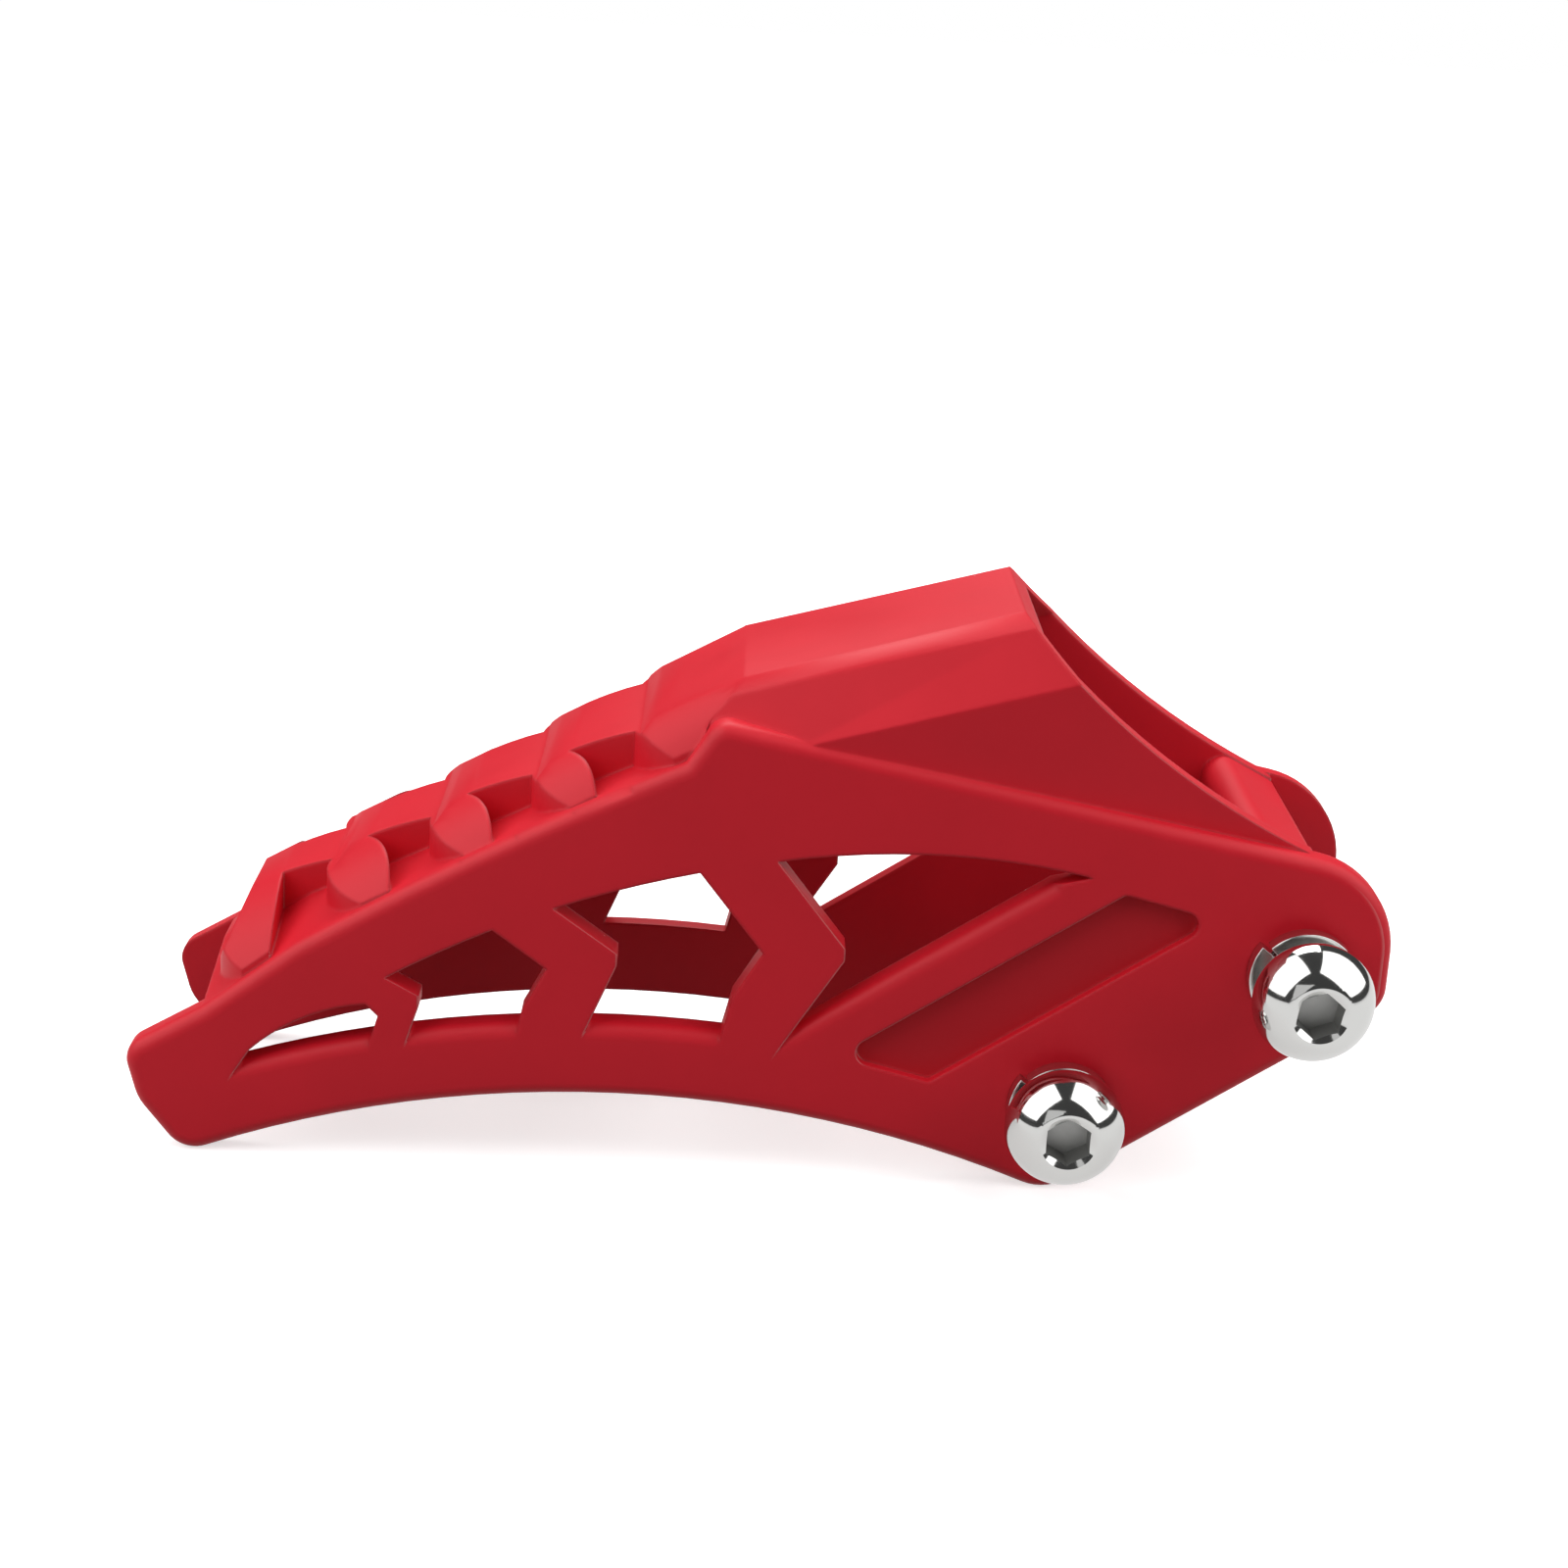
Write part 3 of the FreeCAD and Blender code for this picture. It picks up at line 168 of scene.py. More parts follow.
def moulded_plastic(name, settings, deep, light, smoothest):
    """Red polyamide from an injection mould. The eye reads it by its even satin skin, the soft
    edges that the tool leaves, the pale lines at the openings, which are partly where flash was
    trimmed off and partly a painted highlight on the edges that turn towards the tail, a faint
    flow in the pigment, a fine grain and specks of dust. The real grain is nearer 0.05 mm
    across, and is drawn coarser here so that it shows."""
    material, tree = new_material(name)
    place = add_node(tree, "ShaderNodeTexCoord").outputs["Object"]
    flow = add_node(tree, "ShaderNodeTexNoise", {
        "Vector": place, "Scale": 1 / settings.flow_size, "Detail": 3.0,
        "Roughness": 0.55})
    pigment = add_node(tree, "ShaderNodeMixRGB", {
        "Fac": flow.outputs["Fac"],
        "Color1": (*deep, 1),
        "Color2": (*light, 1)})
    # Dust: a speck in some of the cells, at the cell's own point.
    specks = add_node(tree, "ShaderNodeTexVoronoi", {
        "Vector": place, "Scale": 1 / settings.dust_spacing})
    near = add_node(tree, "ShaderNodeMapRange", {
        "Value": specks.outputs["Distance"], "From Min": 0.036, "From Max": 0.02})
    rare = add_node(tree, "ShaderNodeSeparateColor", {"Color": specks.outputs["Color"]})
    chosen = add_node(tree, "ShaderNodeMath", {
        0: rare.outputs["Red"], 1: settings.dust_share}, operation="LESS_THAN")
    dust = add_node(tree, "ShaderNodeMath", {
        0: near.outputs["Result"], 1: chosen.outputs["Value"]}, operation="MULTIPLY")
    colour = add_node(tree, "ShaderNodeMixRGB", {
        "Fac": dust.outputs["Value"],
        "Color1": pigment.outputs["Color"],
        "Color2": (*settings.pale_red, 1)})
    # Flash and painted highlight: a pale line on the flat outside of the near cheek, where it
    # meets a wall that faces the tail. It is partly trimmed flash and partly a painted highlight.
    lip = add_node(tree, "ShaderNodeBevel", {"Radius": settings.flash_and_highlight_width}, samples=6)
    turned = add_node(tree, "ShaderNodeSeparateXYZ", {"Vector": lip.outputs["Normal"]})
    rearward = add_node(tree, "ShaderNodeMapRange", {
        "Value": turned.outputs["X"], "From Min": 0.2, "From Max": 0.5})
    flat = add_node(tree, "ShaderNodeSeparateXYZ", {
        "Vector": add_node(tree, "ShaderNodeNewGeometry").outputs["True Normal"]})
    outer = add_node(tree, "ShaderNodeMath", {
        0: flat.outputs["Y"], 1: -0.9}, operation="LESS_THAN")
    pale_rear_edge = add_node(tree, "ShaderNodeMath", {
        0: rearward.outputs["Result"], 1: outer.outputs["Value"]}, operation="MULTIPLY")
    flash = add_node(tree, "ShaderNodeMath", {
        0: pale_rear_edge.outputs["Value"], 1: 0.55}, operation="MULTIPLY")
    # The pale line, partly trimmed flash and partly a painted highlight, is mixed into the colour
    # here.
    trimmed = add_node(tree, "ShaderNodeMixRGB", {
        "Fac": flash.outputs["Value"],
        "Color1": colour.outputs["Color"],
        "Color2": (*settings.pale_red, 1)})
    # Skin: the grain on top of the softened edges.
    grain = add_node(tree, "ShaderNodeTexNoise", {
        "Vector": place, "Scale": 1 / settings.grain_size, "Detail": 2.0})
    soft_edge = add_node(tree, "ShaderNodeBevel", {"Radius": settings.edge_round}, samples=8)
    bump = add_node(tree, "ShaderNodeBump", {
        "Height": grain.outputs["Fac"], "Strength": 0.2, "Distance": 0.03 * MM,
        "Normal": soft_edge.outputs["Normal"]})
    rough = add_node(tree, "ShaderNodeMapRange", {
        "Value": flow.outputs["Fac"], "To Min": smoothest, "To Max": smoothest + 0.1})
    shader = add_node(tree, "ShaderNodeBsdfPrincipled", {
        "Base Color": trimmed.outputs["Color"], "Roughness": rough.outputs["Result"],
        "IOR": 1.5, "Specular IOR Level": 0.3, "Normal": bump.outputs["Normal"]})
    finish_material(tree, shader.outputs["BSDF"])
    return material


def plated_metal(name, colour, haze_size, smoothest, dullest):
    """Steel, plated or bare: a mirror whose haze, given in millimetres, makes patches of it a
    little duller."""
    material, tree = new_material(name)
    place = add_node(tree, "ShaderNodeTexCoord").outputs["Object"]
    haze = add_node(tree, "ShaderNodeTexNoise", {
        "Vector": place, "Scale": 1 / (haze_size * MM), "Detail": 4.0})
    rough = add_node(tree, "ShaderNodeMapRange", {
        "Value": haze.outputs["Fac"], "To Min": smoothest, "To Max": dullest})
    shader = add_node(tree, "ShaderNodeBsdfPrincipled", {
        "Base Color": (*colour, 1), "Metallic": 1.0,
        "Roughness": rough.outputs["Result"]})
    finish_material(tree, shader.outputs["BSDF"])
    return material


# Settings

class GuideSettings(bpy.types.PropertyGroup):
    edge_round: FloatProperty(
        name="Edge rounding", description="Radius that the mould leaves on the edges",
        default=0.7 * MM, min=0.0, precision=5, unit="LENGTH")
    panel_depth: FloatProperty(
        name="Panel depth", description="Depth of the sunken panels in the cheeks",
        default=1.4 * MM, min=0.1 * MM, precision=5, unit="LENGTH")
    hood_round: FloatProperty(
        name="Hood rounding", description="How far the rounding of the roof's edges reaches",
        default=1.8 * MM, min=0.1 * MM, precision=5, unit="LENGTH")
    # The pale line is partly trimmed flash and partly a painted highlight on edges that turn
    # towards the tail.
    flash_and_highlight_width: FloatProperty(
        name="Flash width", description="Width of the pale line where flash was trimmed off",
        default=0.4 * MM, min=0.0, precision=5, unit="LENGTH")
    crease_angle: FloatProperty(
        name="Crease angle", description="Faces that meet at less than this are shaded as one",
        default=math.radians(32), min=0.02, max=1.57, subtype="ANGLE")
    flow_size: FloatProperty(
        name="Flow size", description="Width of the flow marks in the pigment",
        default=14 * MM, min=MM, precision=5, unit="LENGTH")
    grain_size: FloatProperty(
        name="Grain size", description="Size of the grain of the mould's surface",
        default=0.5 * MM, min=0.05 * MM, precision=5, unit="LENGTH")
    dust_spacing: FloatProperty(
        name="Dust spacing", description="Distance between the places for a speck of dust",
        default=6 * MM, min=0.5 * MM, precision=5, unit="LENGTH")
    dust_share: FloatProperty(
        name="Dust share", description="Share of those places that hold a speck",
        default=0.2, min=0.0, max=1.0, subtype="FACTOR")
    deep_red: FloatVectorProperty(
        name="Deep red", description="Darker colour of the pigment's flow",
        default=linear("#CC1526"), min=0.0, max=1.0, subtype="COLOR")
    light_red: FloatVectorProperty(
        name="Light red", description="Lighter colour of the pigment's flow",
        default=linear("#DA1B2D"), min=0.0, max=1.0, subtype="COLOR")
    # The darker red of the panel floors is painted shade.
    painted_shade_panel_red: FloatVectorProperty(
        name="Panel red", description="Colour of the duller floors of the sunken panels",
        default=linear("#BC1422"), min=0.0, max=1.0, subtype="COLOR")
    # This pale red also paints the highlight on the near cheek's edges that turn towards the tail.
    pale_red: FloatVectorProperty(
        name="Pale red", description="Colour of the dust and of trimmed flash",
        default=linear("#E8A6A6"), min=0.0, max=1.0, subtype="COLOR")


class HardwareSettings(bpy.types.PropertyGroup):
    thread_pitch: FloatProperty(
        name="Thread pitch", description="From one crest of the thread to the next",
        default=1.25 * MM, min=0.2 * MM, precision=5, unit="LENGTH")
    thread_depth: FloatProperty(
        name="Thread depth", description="From the crests of the thread to its roots",
        default=0.65 * MM, min=0.05 * MM, precision=5, unit="LENGTH")
    thread_diameter: FloatProperty(
        name="Thread diameter", description="Over the crests of the thread",
        default=8 * MM, min=MM, precision=5, unit="LENGTH")
    socket_width: FloatProperty(
        name="Socket width", description="Hexagon socket across its flats",
        default=5 * MM, min=MM, precision=5, unit="LENGTH")
    shank_length: FloatProperty(
        name="Shank length", description="Length of a bolt below its head",
        default=55 * MM, min=5 * MM, precision=5, unit="LENGTH")
    washer_round: FloatProperty(
        name="Washer rounding", description="Radius of a spring washer's rolled edges",
        default=0.4 * MM, min=0.0, precision=5, unit="LENGTH")
    chrome: FloatVectorProperty(
        name="Chrome", description="Colour of the bolts' plating",
        default=linear("#D6D6D4"), min=0.0, max=1.0, subtype="COLOR")
    bare_steel: FloatVectorProperty(
        name="Bare steel", description="Colour deep in the sockets",
        default=linear("#B2B2B0"), min=0.0, max=1.0, subtype="COLOR")
    washer_steel: FloatVectorProperty(
        name="Washer steel", description="Colour of the spring washers",
        default=linear("#D2D2D0"), min=0.0, max=1.0, subtype="COLOR")
    zinc: FloatVectorProperty(
        name="Zinc", description="Colour of the nuts' plating",
        default=linear("#B9BBBE"), min=0.0, max=1.0, subtype="COLOR")


class StageSettings(bpy.types.PropertyGroup):
    box_power: FloatProperty(
        name="Soft boxes", description="Power of each of the two top soft boxes",
        default=5.7, min=0.0, unit="POWER")
    back_power: FloatProperty(
        name="Back light", description="Power of the light behind the guide",
        default=2.4, min=0.0, unit="POWER")
    fill_power: FloatProperty(
        name="Fill light", description="Power of the light beside the camera",
        default=0.5, min=0.0, unit="POWER")
    ambient: FloatProperty(
        name="Ambient", description="Strength of the room's light on the guide",
        default=0.06, min=0.0)
    table_glow: FloatProperty(
        name="Table glow", description="Brightness of the white table in the chrome",
        default=0.7, min=0.0)


# Threads

def thread_tree():
    """Nodes that turn a cylinder's wall into a screw thread and add it to a bolt."""
    tree = bpy.data.node_groups.new("screw_thread", "GeometryNodeTree")
    tree.is_modifier = True
    face = tree.interface
    face.new_socket("Geometry", in_out="INPUT", socket_type="NodeSocketGeometry")
    for name in ("Pitch", "Depth", "Crest Radius", "Length"):
        face.new_socket(name, in_out="INPUT", socket_type="NodeSocketFloat")
    face.new_socket("Start", in_out="INPUT", socket_type="NodeSocketVector")
    face.new_socket("Rings", in_out="INPUT", socket_type="NodeSocketInt")
    face.new_socket("Material", in_out="INPUT", socket_type="NodeSocketMaterial")
    face.new_socket("Geometry", in_out="OUTPUT", socket_type="NodeSocketGeometry")
    given = add_node(tree, "NodeGroupInput").outputs
    rod = add_node(tree, "GeometryNodeMeshCylinder", {
        "Vertices": 64, "Side Segments": given["Rings"], "Radius": given["Crest Radius"],
        "Depth": given["Length"]})
    place = add_node(tree, "ShaderNodeSeparateXYZ", {
        "Vector": add_node(tree, "GeometryNodeInputPosition").outputs["Position"]}).outputs
    along = add_node(tree, "ShaderNodeMath", {
        0: place["Z"], 1: given["Pitch"]}, operation="DIVIDE")
    angle = add_node(tree, "ShaderNodeMath", {
        0: place["Y"], 1: place["X"]}, operation="ARCTAN2")
    turn = add_node(tree, "ShaderNodeMath", {
        0: angle.outputs["Value"], 1: math.tau}, operation="DIVIDE")
    phase = add_node(tree, "ShaderNodeMath", {
        0: along.outputs["Value"], 1: turn.outputs["Value"]}, operation="SUBTRACT")
    share = add_node(tree, "ShaderNodeMath", {
        0: phase.outputs["Value"]}, operation="FRACT")
    flank = add_node(tree, "ShaderNodeMath", {
        0: share.outputs["Value"], 1: 0.5}, operation="PINGPONG")
    sunk = add_node(tree, "ShaderNodeMath", {
        0: flank.outputs["Value"], 1: given["Depth"]}, operation="MULTIPLY")
    lost = add_node(tree, "ShaderNodeMath", {
        0: sunk.outputs["Value"], 1: given["Crest Radius"]}, operation="DIVIDE")
    kept = add_node(tree, "ShaderNodeMath", {
        0: lost.outputs["Value"], 1: -2.0, 2: 1.0}, operation="MULTIPLY_ADD")
    across = add_node(tree, "ShaderNodeCombineXYZ", {
        "X": kept.outputs["Value"], "Y": kept.outputs["Value"], "Z": 1.0})
    moved = add_node(tree, "ShaderNodeVectorMath", {
        0: add_node(tree, "GeometryNodeInputPosition").outputs["Position"],
        1: across.outputs["Vector"]}, operation="MULTIPLY")
    thread = add_node(tree, "GeometryNodeSetPosition", {
        "Geometry": rod.outputs["Mesh"], "Position": moved.outputs["Vector"]})
    way = add_node(tree, "ShaderNodeCombineXYZ", {"Y": given["Length"]})
    middle = add_node(tree, "ShaderNodeVectorMath", {
        0: way.outputs["Vector"], 1: (0.5, 0.5, 0.5), 2: given["Start"]},
        operation="MULTIPLY_ADD")
    laid = add_node(tree, "GeometryNodeTransform", {
        "Geometry": thread.outputs["Geometry"], "Translation": middle.outputs["Vector"],
        "Rotation": (-math.pi / 2, 0.0, 0.0)})
    both = add_node(tree, "GeometryNodeJoinGeometry")
    tree.links.new(given["Geometry"], both.inputs[0])
    tree.links.new(laid.outputs["Geometry"], both.inputs[0])
    real = add_node(tree, "GeometryNodeRealizeInstances", {"Geometry": both.outputs["Geometry"]})
    dressed = add_node(tree, "GeometryNodeSetMaterial", {
        "Geometry": real.outputs["Geometry"], "Material": given["Material"]})
    add_node(tree, "NodeGroupOutput", {"Geometry": dressed.outputs["Geometry"]})
    return tree


# Pieces

def hand_over(piece, node):
    """Makes a finished piece stand for a CAD node."""
    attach(piece, "root")
    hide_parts(node)


class CHAINGUIDE_OT_mould_body(bpy.types.Operator):
    """Makes the moulded body from the CAD node, with soft edges and the plastic's finish"""
    bl_idname = "chainguide.mould_body"
    bl_label = "Mould body"

    def execute(self, context):
        settings = context.scene.chain_guide_body
        piece = merged_copy("guide_body", "moulded_body")
        smooth(piece, settings.crease_angle)
        self.soften_hood(piece.data, settings)
        piece.data.materials.append(moulded_plastic(
            "moulded_polyamide_red", settings, settings.deep_red, settings.light_red, 0.44))
        # The panel floors get a rougher finish and a darker red, which is painted shade.
        piece.data.materials.append(moulded_plastic(
            "spark_eroded_polyamide_red", settings, settings.painted_shade_panel_red, settings.painted_shade_panel_red, 0.62))
        self.dull_and_shade_panels(piece.data, settings)
        hand_over(piece, "guide_body")
        return {"FINISHED"}

    def dull_and_shade_panels(self, mesh, settings):
        """Gives the floors of the sunken panels the matt finish of a spark eroded mould, and a
        darker red that is painted shade.
        """
        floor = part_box("guide_body")[1][1] - settings.panel_depth
        for face in mesh.polygons:
            if abs(abs(face.center.y) - floor) < 0.02 * MM and abs(face.normal.y) > 0.9995:
                face.material_index = 1

    def soften_hood(self, mesh, settings):
        """Rounds the two long edges of the hood's roof, after joining the flats beside them."""
        shell = bmesh.new()
        shell.from_mesh(mesh)
        for edge in self.roof_edges(shell):
            for face in list(edge.link_faces):
                if len(face.verts) == 3:
                    bmesh.ops.dissolve_faces(shell, faces=self.flat_around(face))
        shell.normal_update()
        edges = self.roof_edges(shell)
        if not edges:
            raise RuntimeError("the hood's roof has no long edges to round")
        made = bmesh.ops.bevel(shell, geom=edges, offset=settings.hood_round,
                               segments=ROUNDING_STEPS, profile=0.5, affect="EDGES")
        rounded = set(made["faces"])
        for face in made["faces"]:
            face.smooth = True
            for edge in face.edges:
                edge.smooth = all(other in rounded for other in edge.link_faces)
        bmesh.ops.triangulate(shell, faces=[f for f in shell.faces if len(f.verts) > 4])
        shell.to_mesh(mesh)
        shell.free()

    def roof_edges(self, shell):
        """The edges between the hood's roof and its bevels, which run along the guide."""
        found = []
        for edge in shell.edges:
            run = abs(edge.verts[0].co.x - edge.verts[1].co.x)
            if (edge.is_manifold and run > max(HOOD_EDGE_LEAST, 0.8 * edge.calc_length())
                    and edge.calc_face_angle_signed() > HOOD_EDGE_TURN
                    and min(face.normal.z for face in edge.link_faces) > 0.3):
                found.append(edge)
        return found

    def flat_around(self, first):
        """The faces that lie in one flat with a face, and hang together with it."""
        flat, seen = [first], {first}
        for known in flat:
            for edge in known.edges:
                for face in edge.link_faces:
                    if face not in seen and face.normal.dot(first.normal) > 0.99999:
                        seen.add(face)
                        flat.append(face)
        return flat


class CHAINGUIDE_OT_cut_bolts(bpy.types.Operator):
    """Makes the two chromed dome head bolts with their rolled threads"""
    bl_idname = "chainguide.cut_bolts"
    bl_label = "Cut bolts"

    def execute(self, context):
        settings = context.scene.chain_guide_hardware
        # Chrome shows the room nearly sharp. The plating hardly reaches into the sockets, so the
        # bare steel there is grey and dull.
        chrome = plated_metal("bright_chrome_plate", settings.chrome, 1.5, 0.05, 0.12)
        bare = plated_metal("bare_steel_socket", settings.bare_steel, 0.6, 0.45, 0.60)
        tree = thread_tree()
        for node in ("lower_bolt", "upper_bolt"):
            low, high = (Vector(corner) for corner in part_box(node))
            start = Vector(((low.x + high.x) / 2, high.y - settings.shank_length,
                            (low.z + high.z) / 2))
            piece = merged_copy(node, node + "_piece")
            self.thin_shank(piece.data, start, settings)
            smooth(piece)
            self.add_thread(piece, tree, start, chrome, settings)
            bake_modifiers(piece)
            self.dull_socket(piece.data, low.y, start, bare, settings)
            hand_over(piece, node)
        return {"FINISHED"}

    def thin_shank(self, mesh, start, settings):
        """Brings the plain shank in to the roots of the thread."""
        core = settings.thread_diameter / 2 - settings.thread_depth
        for vertex in mesh.vertices:
            arm = Vector((vertex.co.x - start.x, vertex.co.z - start.z))
            if vertex.co.y > start.y + 0.05 * MM and arm.length > core:
                arm = arm.normalized() * core * CORE_SHARE
                vertex.co.x = start.x + arm.x
                vertex.co.z = start.z + arm.y

    def dull_socket(self, mesh, top, start, bare, settings):
        """Gives the socket below the countersink the bare steel."""
        mesh.materials.append(bare)
        number = len(mesh.materials) - 1
        for face in mesh.polygons:
            inside = start.y - CAP_MARGIN > face.center.y > top + CHROME_DEPTH
            arm = Vector((face.center.x - start.x, face.center.z - start.z))
            if inside and arm.length < settings.socket_width * HALF_CORNERS:
                face.material_index = number

    def add_thread(self, piece, tree, start, material, settings):
        """Hangs the thread's Geometry Nodes on a bolt, with the bolt's own sizes."""
        length = settings.shank_length - BARE_POINT
        values = {
            "Pitch": settings.thread_pitch,
            "Depth": settings.thread_depth,
            "Crest Radius": settings.thread_diameter / 2,
            "Length": length,
            "Start": start,
            "Rings": round(length / settings.thread_pitch * RINGS_PER_TURN),
            "Material": material,
        }
        thread = piece.modifiers.new("thread", "NODES")
        thread.node_group = tree
        for item in tree.interface.items_tree:
            if item.name in values:
                thread[item.identifier] = values[item.name]


class CHAINGUIDE_OT_dress_hardware(bpy.types.Operator):
    """Plates the spring washers and the nuts"""
    bl_idname = "chainguide.dress_hardware"
    bl_label = "Dress hardware"

    def execute(self, context):
        settings = context.scene.chain_guide_hardware
        # Nickel on drawn wire has a satin shine. Zinc is greyer, and the dullest of the finishes.
        bright = plated_metal("bright_plated_spring_steel", settings.washer_steel, 1.0, 0.16, 0.28)
        zinc = plated_metal("zinc_plated_steel", settings.zinc, 0.8, 0.25, 0.42)
        for which in ("lower", "upper"):
            for kind, material, slot in (("spring_washer", bright, "washer_steel"),
                                         ("nut", zinc, "nut_steel")):
                node = "%s_%s" % (which, kind)
                piece = merged_copy(node, node + "_piece")
                if kind == "spring_washer":
                    self.roll_edges(piece, settings.washer_round)
                smooth(piece)
                piece.data.materials.append(material)
                hand_over(piece, node)
        return {"FINISHED"}

    def roll_edges(self, piece, radius):
        """Rounds the edges of a spring washer, which is coiled from drawn wire."""
        edges = piece.modifiers.new("rolled_edges", "BEVEL")
        edges.width = radius
        edges.segments = 3
        edges.limit_method = "ANGLE"
        edges.angle_limit = math.radians(40)
        bake_modifiers(piece)


# Stage

# The camera as it was solved from the photograph, its place and lens in millimetres.
CAMERA_PLACE = Vector((-4.905, -321.4, 144.73))
CAMERA_RIGHT = Vector((0.998594, -0.005686, 0.052696))
CAMERA_UP = Vector((-0.048521, 0.302039, 0.952060))
CAMERA_FORWARD = Vector((0.021330, 0.953279, -0.301338))
CAMERA_LENS = 64.125

# Name, place and width in metres, and the setting that holds the power.
LAMPS = (
    ("left_box", (-0.52, -0.10, 0.52), 0.95, "box_power"),
    ("right_box", (0.54, -0.09, 0.52), 0.95, "box_power"),
    ("back_light", (0.0, 0.45, 0.6), 0.4, "back_power"),
    ("fill", (-0.25, -0.8, 0.3), 0.5, "fill_power"),
)
LAMP_TARGET = Vector((0.0, 0.0, 0.03))
FLOOR_REACH = 3.0


class CHAINGUIDE_OT_set_stage(bpy.types.Operator):
    """Sets the floor, the lights and the camera at the photograph's view"""
    bl_idname = "chainguide.set_stage"
    bl_label = "Set stage"

    def execute(self, context):
        settings = context.scene.chain_guide_stage
        self.add_floor(settings)
        self.add_world(context, settings)
        for name, place, width, power in LAMPS:
            self.add_lamp(context, name, Vector(place), width, getattr(settings, power))
        self.add_camera(context)
        context.scene.view_settings.view_transform = "Standard"
        return {"FINISHED"}

    def add_floor(self, settings):
        """A white table that fades to pure white and keeps the guide's shadow. The camera and
        the chrome see it glow, and it throws only a little light back on the guide."""
        mesh = bpy.data.meshes.new("floor")
        near, far = -FLOOR_REACH, FLOOR_REACH
        mesh.from_pydata([(near, near, 0), (far, near, 0), (far, far, 0), (near, far, 0)], [],
                         [(0, 1, 2, 3)])
        floor = new_object("floor", mesh)
        floor.location.z = CAD_BOX[0][2]
        material, tree = new_material("white_table")
        rays = add_node(tree, "ShaderNodeLightPath")
        place = add_node(tree, "ShaderNodeTexCoord").outputs["Object"]
        away = add_node(tree, "ShaderNodeVectorMath", {0: place}, operation="LENGTH")
        fade = add_node(tree, "ShaderNodeMapRange", {
            "Value": away.outputs["Value"], "From Min": 0.12, "From Max": 0.4,
            "To Min": 0.62, "To Max": 1.0})
        glow = add_node(tree, "ShaderNodeMixRGB", {
            "Fac": rays.outputs["Is Camera Ray"], "Color1": (settings.table_glow,) * 3 + (1,),
            "Color2": fade.outputs["Result"]})
        shown = add_node(tree, "ShaderNodeMath", {
            0: rays.outputs["Is Camera Ray"], 1: rays.outputs["Is Glossy Ray"]},
            operation="MAXIMUM")
        table = add_node(tree, "ShaderNodeMixRGB", {
            "Fac": rays.outputs["Is Camera Ray"], "Color1": (0.22, 0.22, 0.22, 1),
            "Color2": (0.8, 0.8, 0.8, 1)})
        plain = add_node(tree, "ShaderNodeBsdfDiffuse", {"Color": table.outputs["Color"]})
        white = add_node(tree, "ShaderNodeEmission", {
            "Color": glow.outputs["Color"], "Strength": shown.outputs["Value"]})
        mixed = add_node(tree, "ShaderNodeAddShader", {
            0: plain.outputs["BSDF"], 1: white.outputs["Emission"]})
        finish_material(tree, mixed.outputs["Shader"])
        floor.data.materials.append(material)

    def add_world(self, context, settings):
        """A room that is white to the camera and gives the guide a weak light."""
        world = bpy.data.worlds.new("studio")
        world.use_nodes = True
        tree = world.node_tree
        tree.nodes.clear()
        rays = add_node(tree, "ShaderNodeLightPath")
        strength = add_node(tree, "ShaderNodeMapRange", {
            "Value": rays.outputs["Is Camera Ray"], "To Min": settings.ambient, "To Max": 1.0})
        light = add_node(tree, "ShaderNodeBackground", {
            "Color": (1, 1, 1, 1), "Strength": strength.outputs["Result"]})
        add_node(tree, "ShaderNodeOutputWorld", {"Surface": light.outputs["Background"]})
        context.scene.world = world

    def add_lamp(self, context, name, place, width, power):
        """A square soft box that is aimed at the guide."""
        lamp = bpy.data.lights.new(name, "AREA")
        lamp.size = width
        lamp.energy = power
        lamp.shape = "SQUARE"
        holder = bpy.data.objects.new(name, lamp)
        holder.location = place
        aim = LAMP_TARGET - place
        holder.rotation_euler = aim.to_track_quat("-Z", "Y").to_euler()
        context.scene.collection.objects.link(holder)

    def add_camera(self, context):
        """A camera where the photographer's stood."""
        camera = bpy.data.cameras.new("camera")
        camera.lens = CAMERA_LENS
        camera.sensor_width = 36.0
        camera.clip_start = 0.01
        holder = bpy.data.objects.new("camera", camera)
        turn = Matrix((CAMERA_RIGHT, CAMERA_UP, -CAMERA_FORWARD)).transposed().to_4x4()
        holder.matrix_world = Matrix.Translation(CAMERA_PLACE * MM) @ turn
        context.scene.collection.objects.link(holder)
        context.scene.camera = holder


class CHAINGUIDE_PT_panel(bpy.types.Panel):
    """Shows the guide's settings and the buttons of its steps"""
    bl_label = "Chain Guide"
    bl_idname = "CHAINGUIDE_PT_panel"
    bl_space_type = "VIEW_3D"
    bl_region_type = "UI"
    bl_category = "Chain Guide"

    def draw(self, context):
        for group in SETTINGS:
            settings = getattr(context.scene, group)
            for name in settings.__annotations__:
                self.layout.prop(settings, name)
        for operator in OPERATORS:
            self.layout.operator(operator.bl_idname)


SETTINGS = {
    "chain_guide_body": GuideSettings,
    "chain_guide_hardware": HardwareSettings,
    "chain_guide_stage": StageSettings,
}
OPERATORS = (CHAINGUIDE_OT_mould_body, CHAINGUIDE_OT_cut_bolts, CHAINGUIDE_OT_dress_hardware,
             CHAINGUIDE_OT_set_stage)
CLASSES = (*SETTINGS.values(), *OPERATORS, CHAINGUIDE_PT_panel)


def register():
    for item in CLASSES:
        bpy.utils.register_class(item)
    for name, group in SETTINGS.items():
        setattr(bpy.types.Scene, name, PointerProperty(type=group))


def unregister():
    for name in SETTINGS:
        delattr(bpy.types.Scene, name)
    for item in reversed(CLASSES):
        bpy.utils.unregister_class(item)


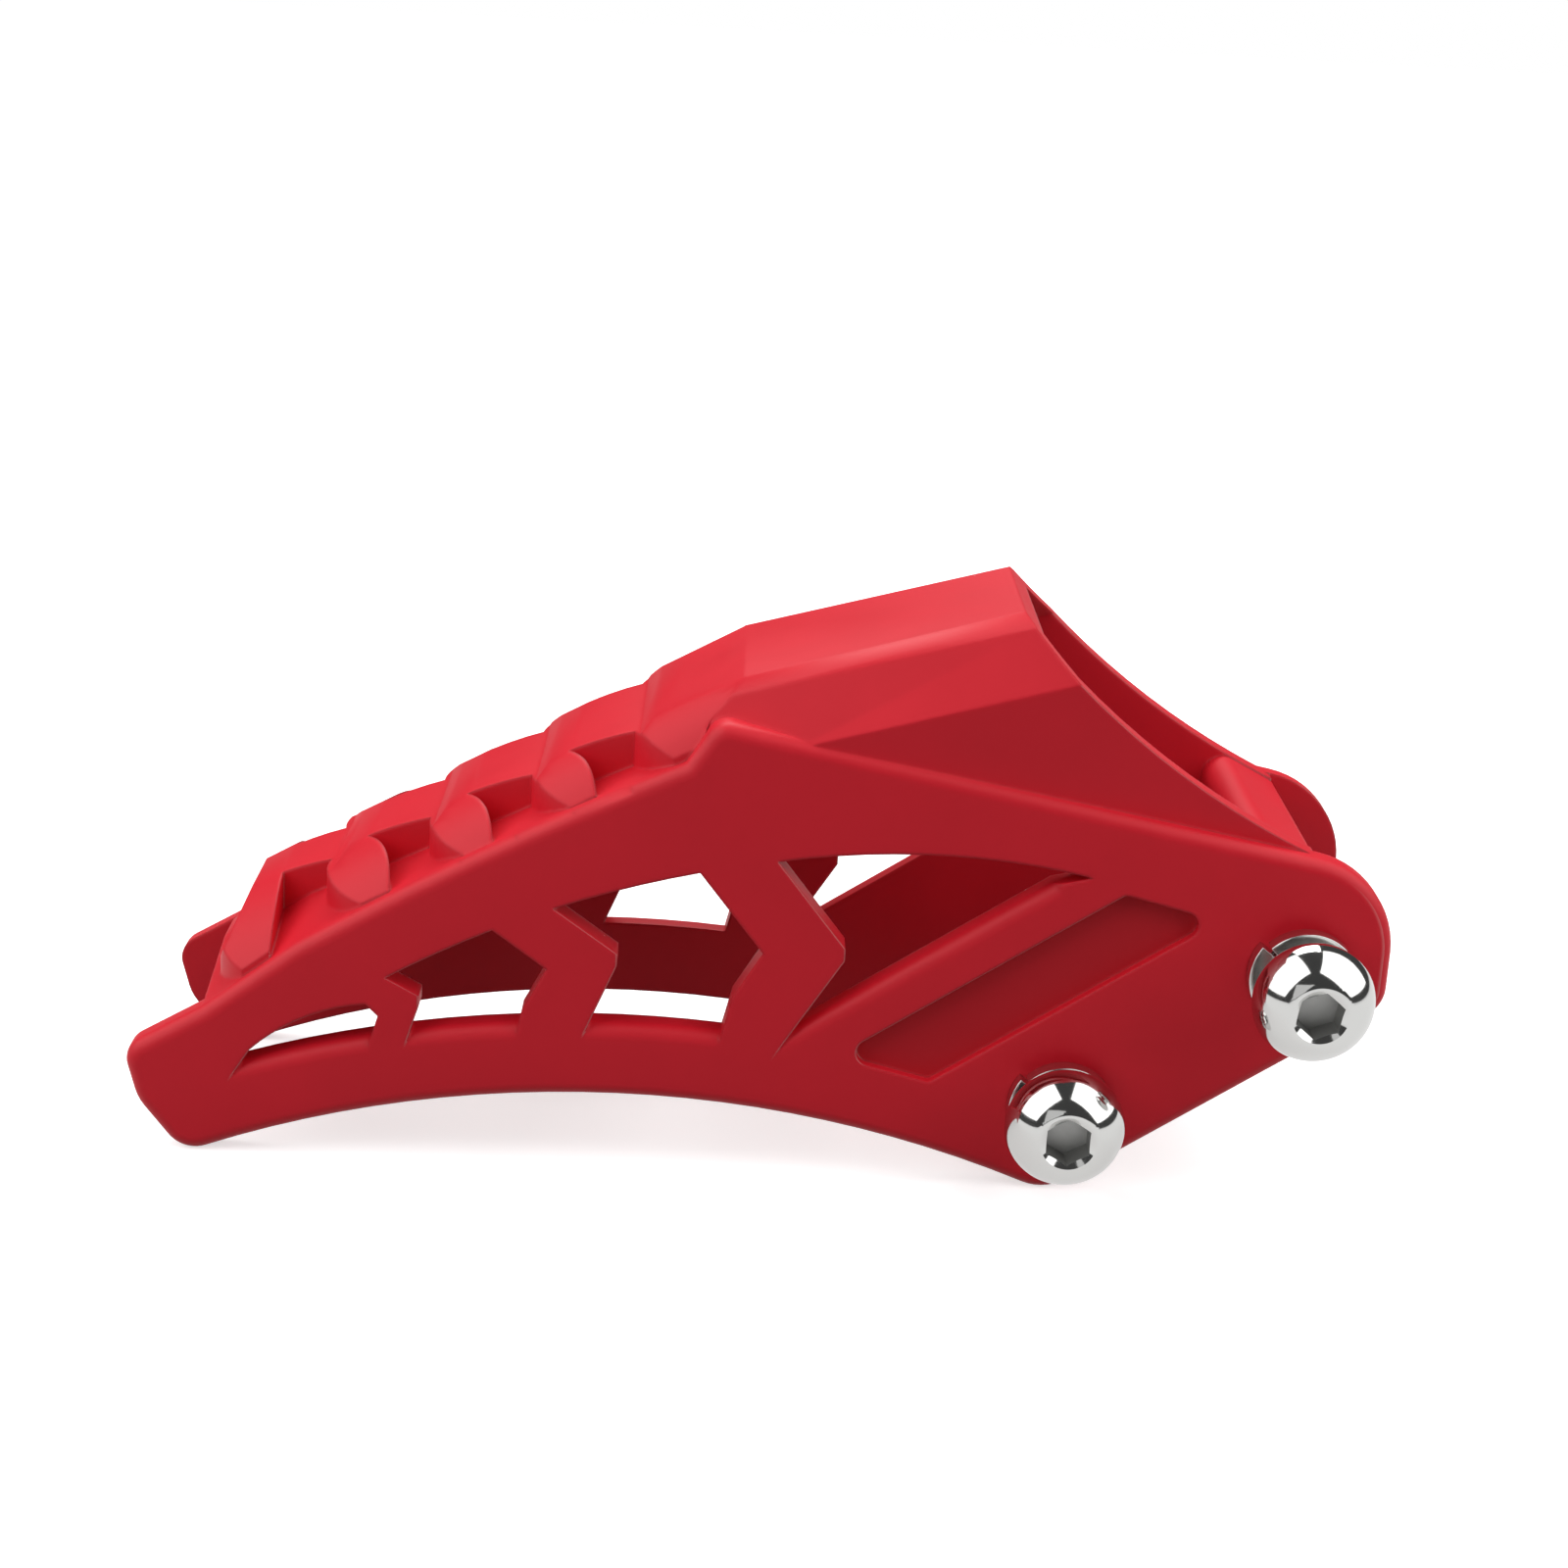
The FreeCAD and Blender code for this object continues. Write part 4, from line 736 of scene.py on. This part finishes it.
def main():
    register()
    bpy.ops.chainguide.mould_body()
    bpy.ops.chainguide.cut_bolts()
    bpy.ops.chainguide.dress_hardware()
    bpy.ops.chainguide.set_stage()


if __name__ == "__main__":
    main()
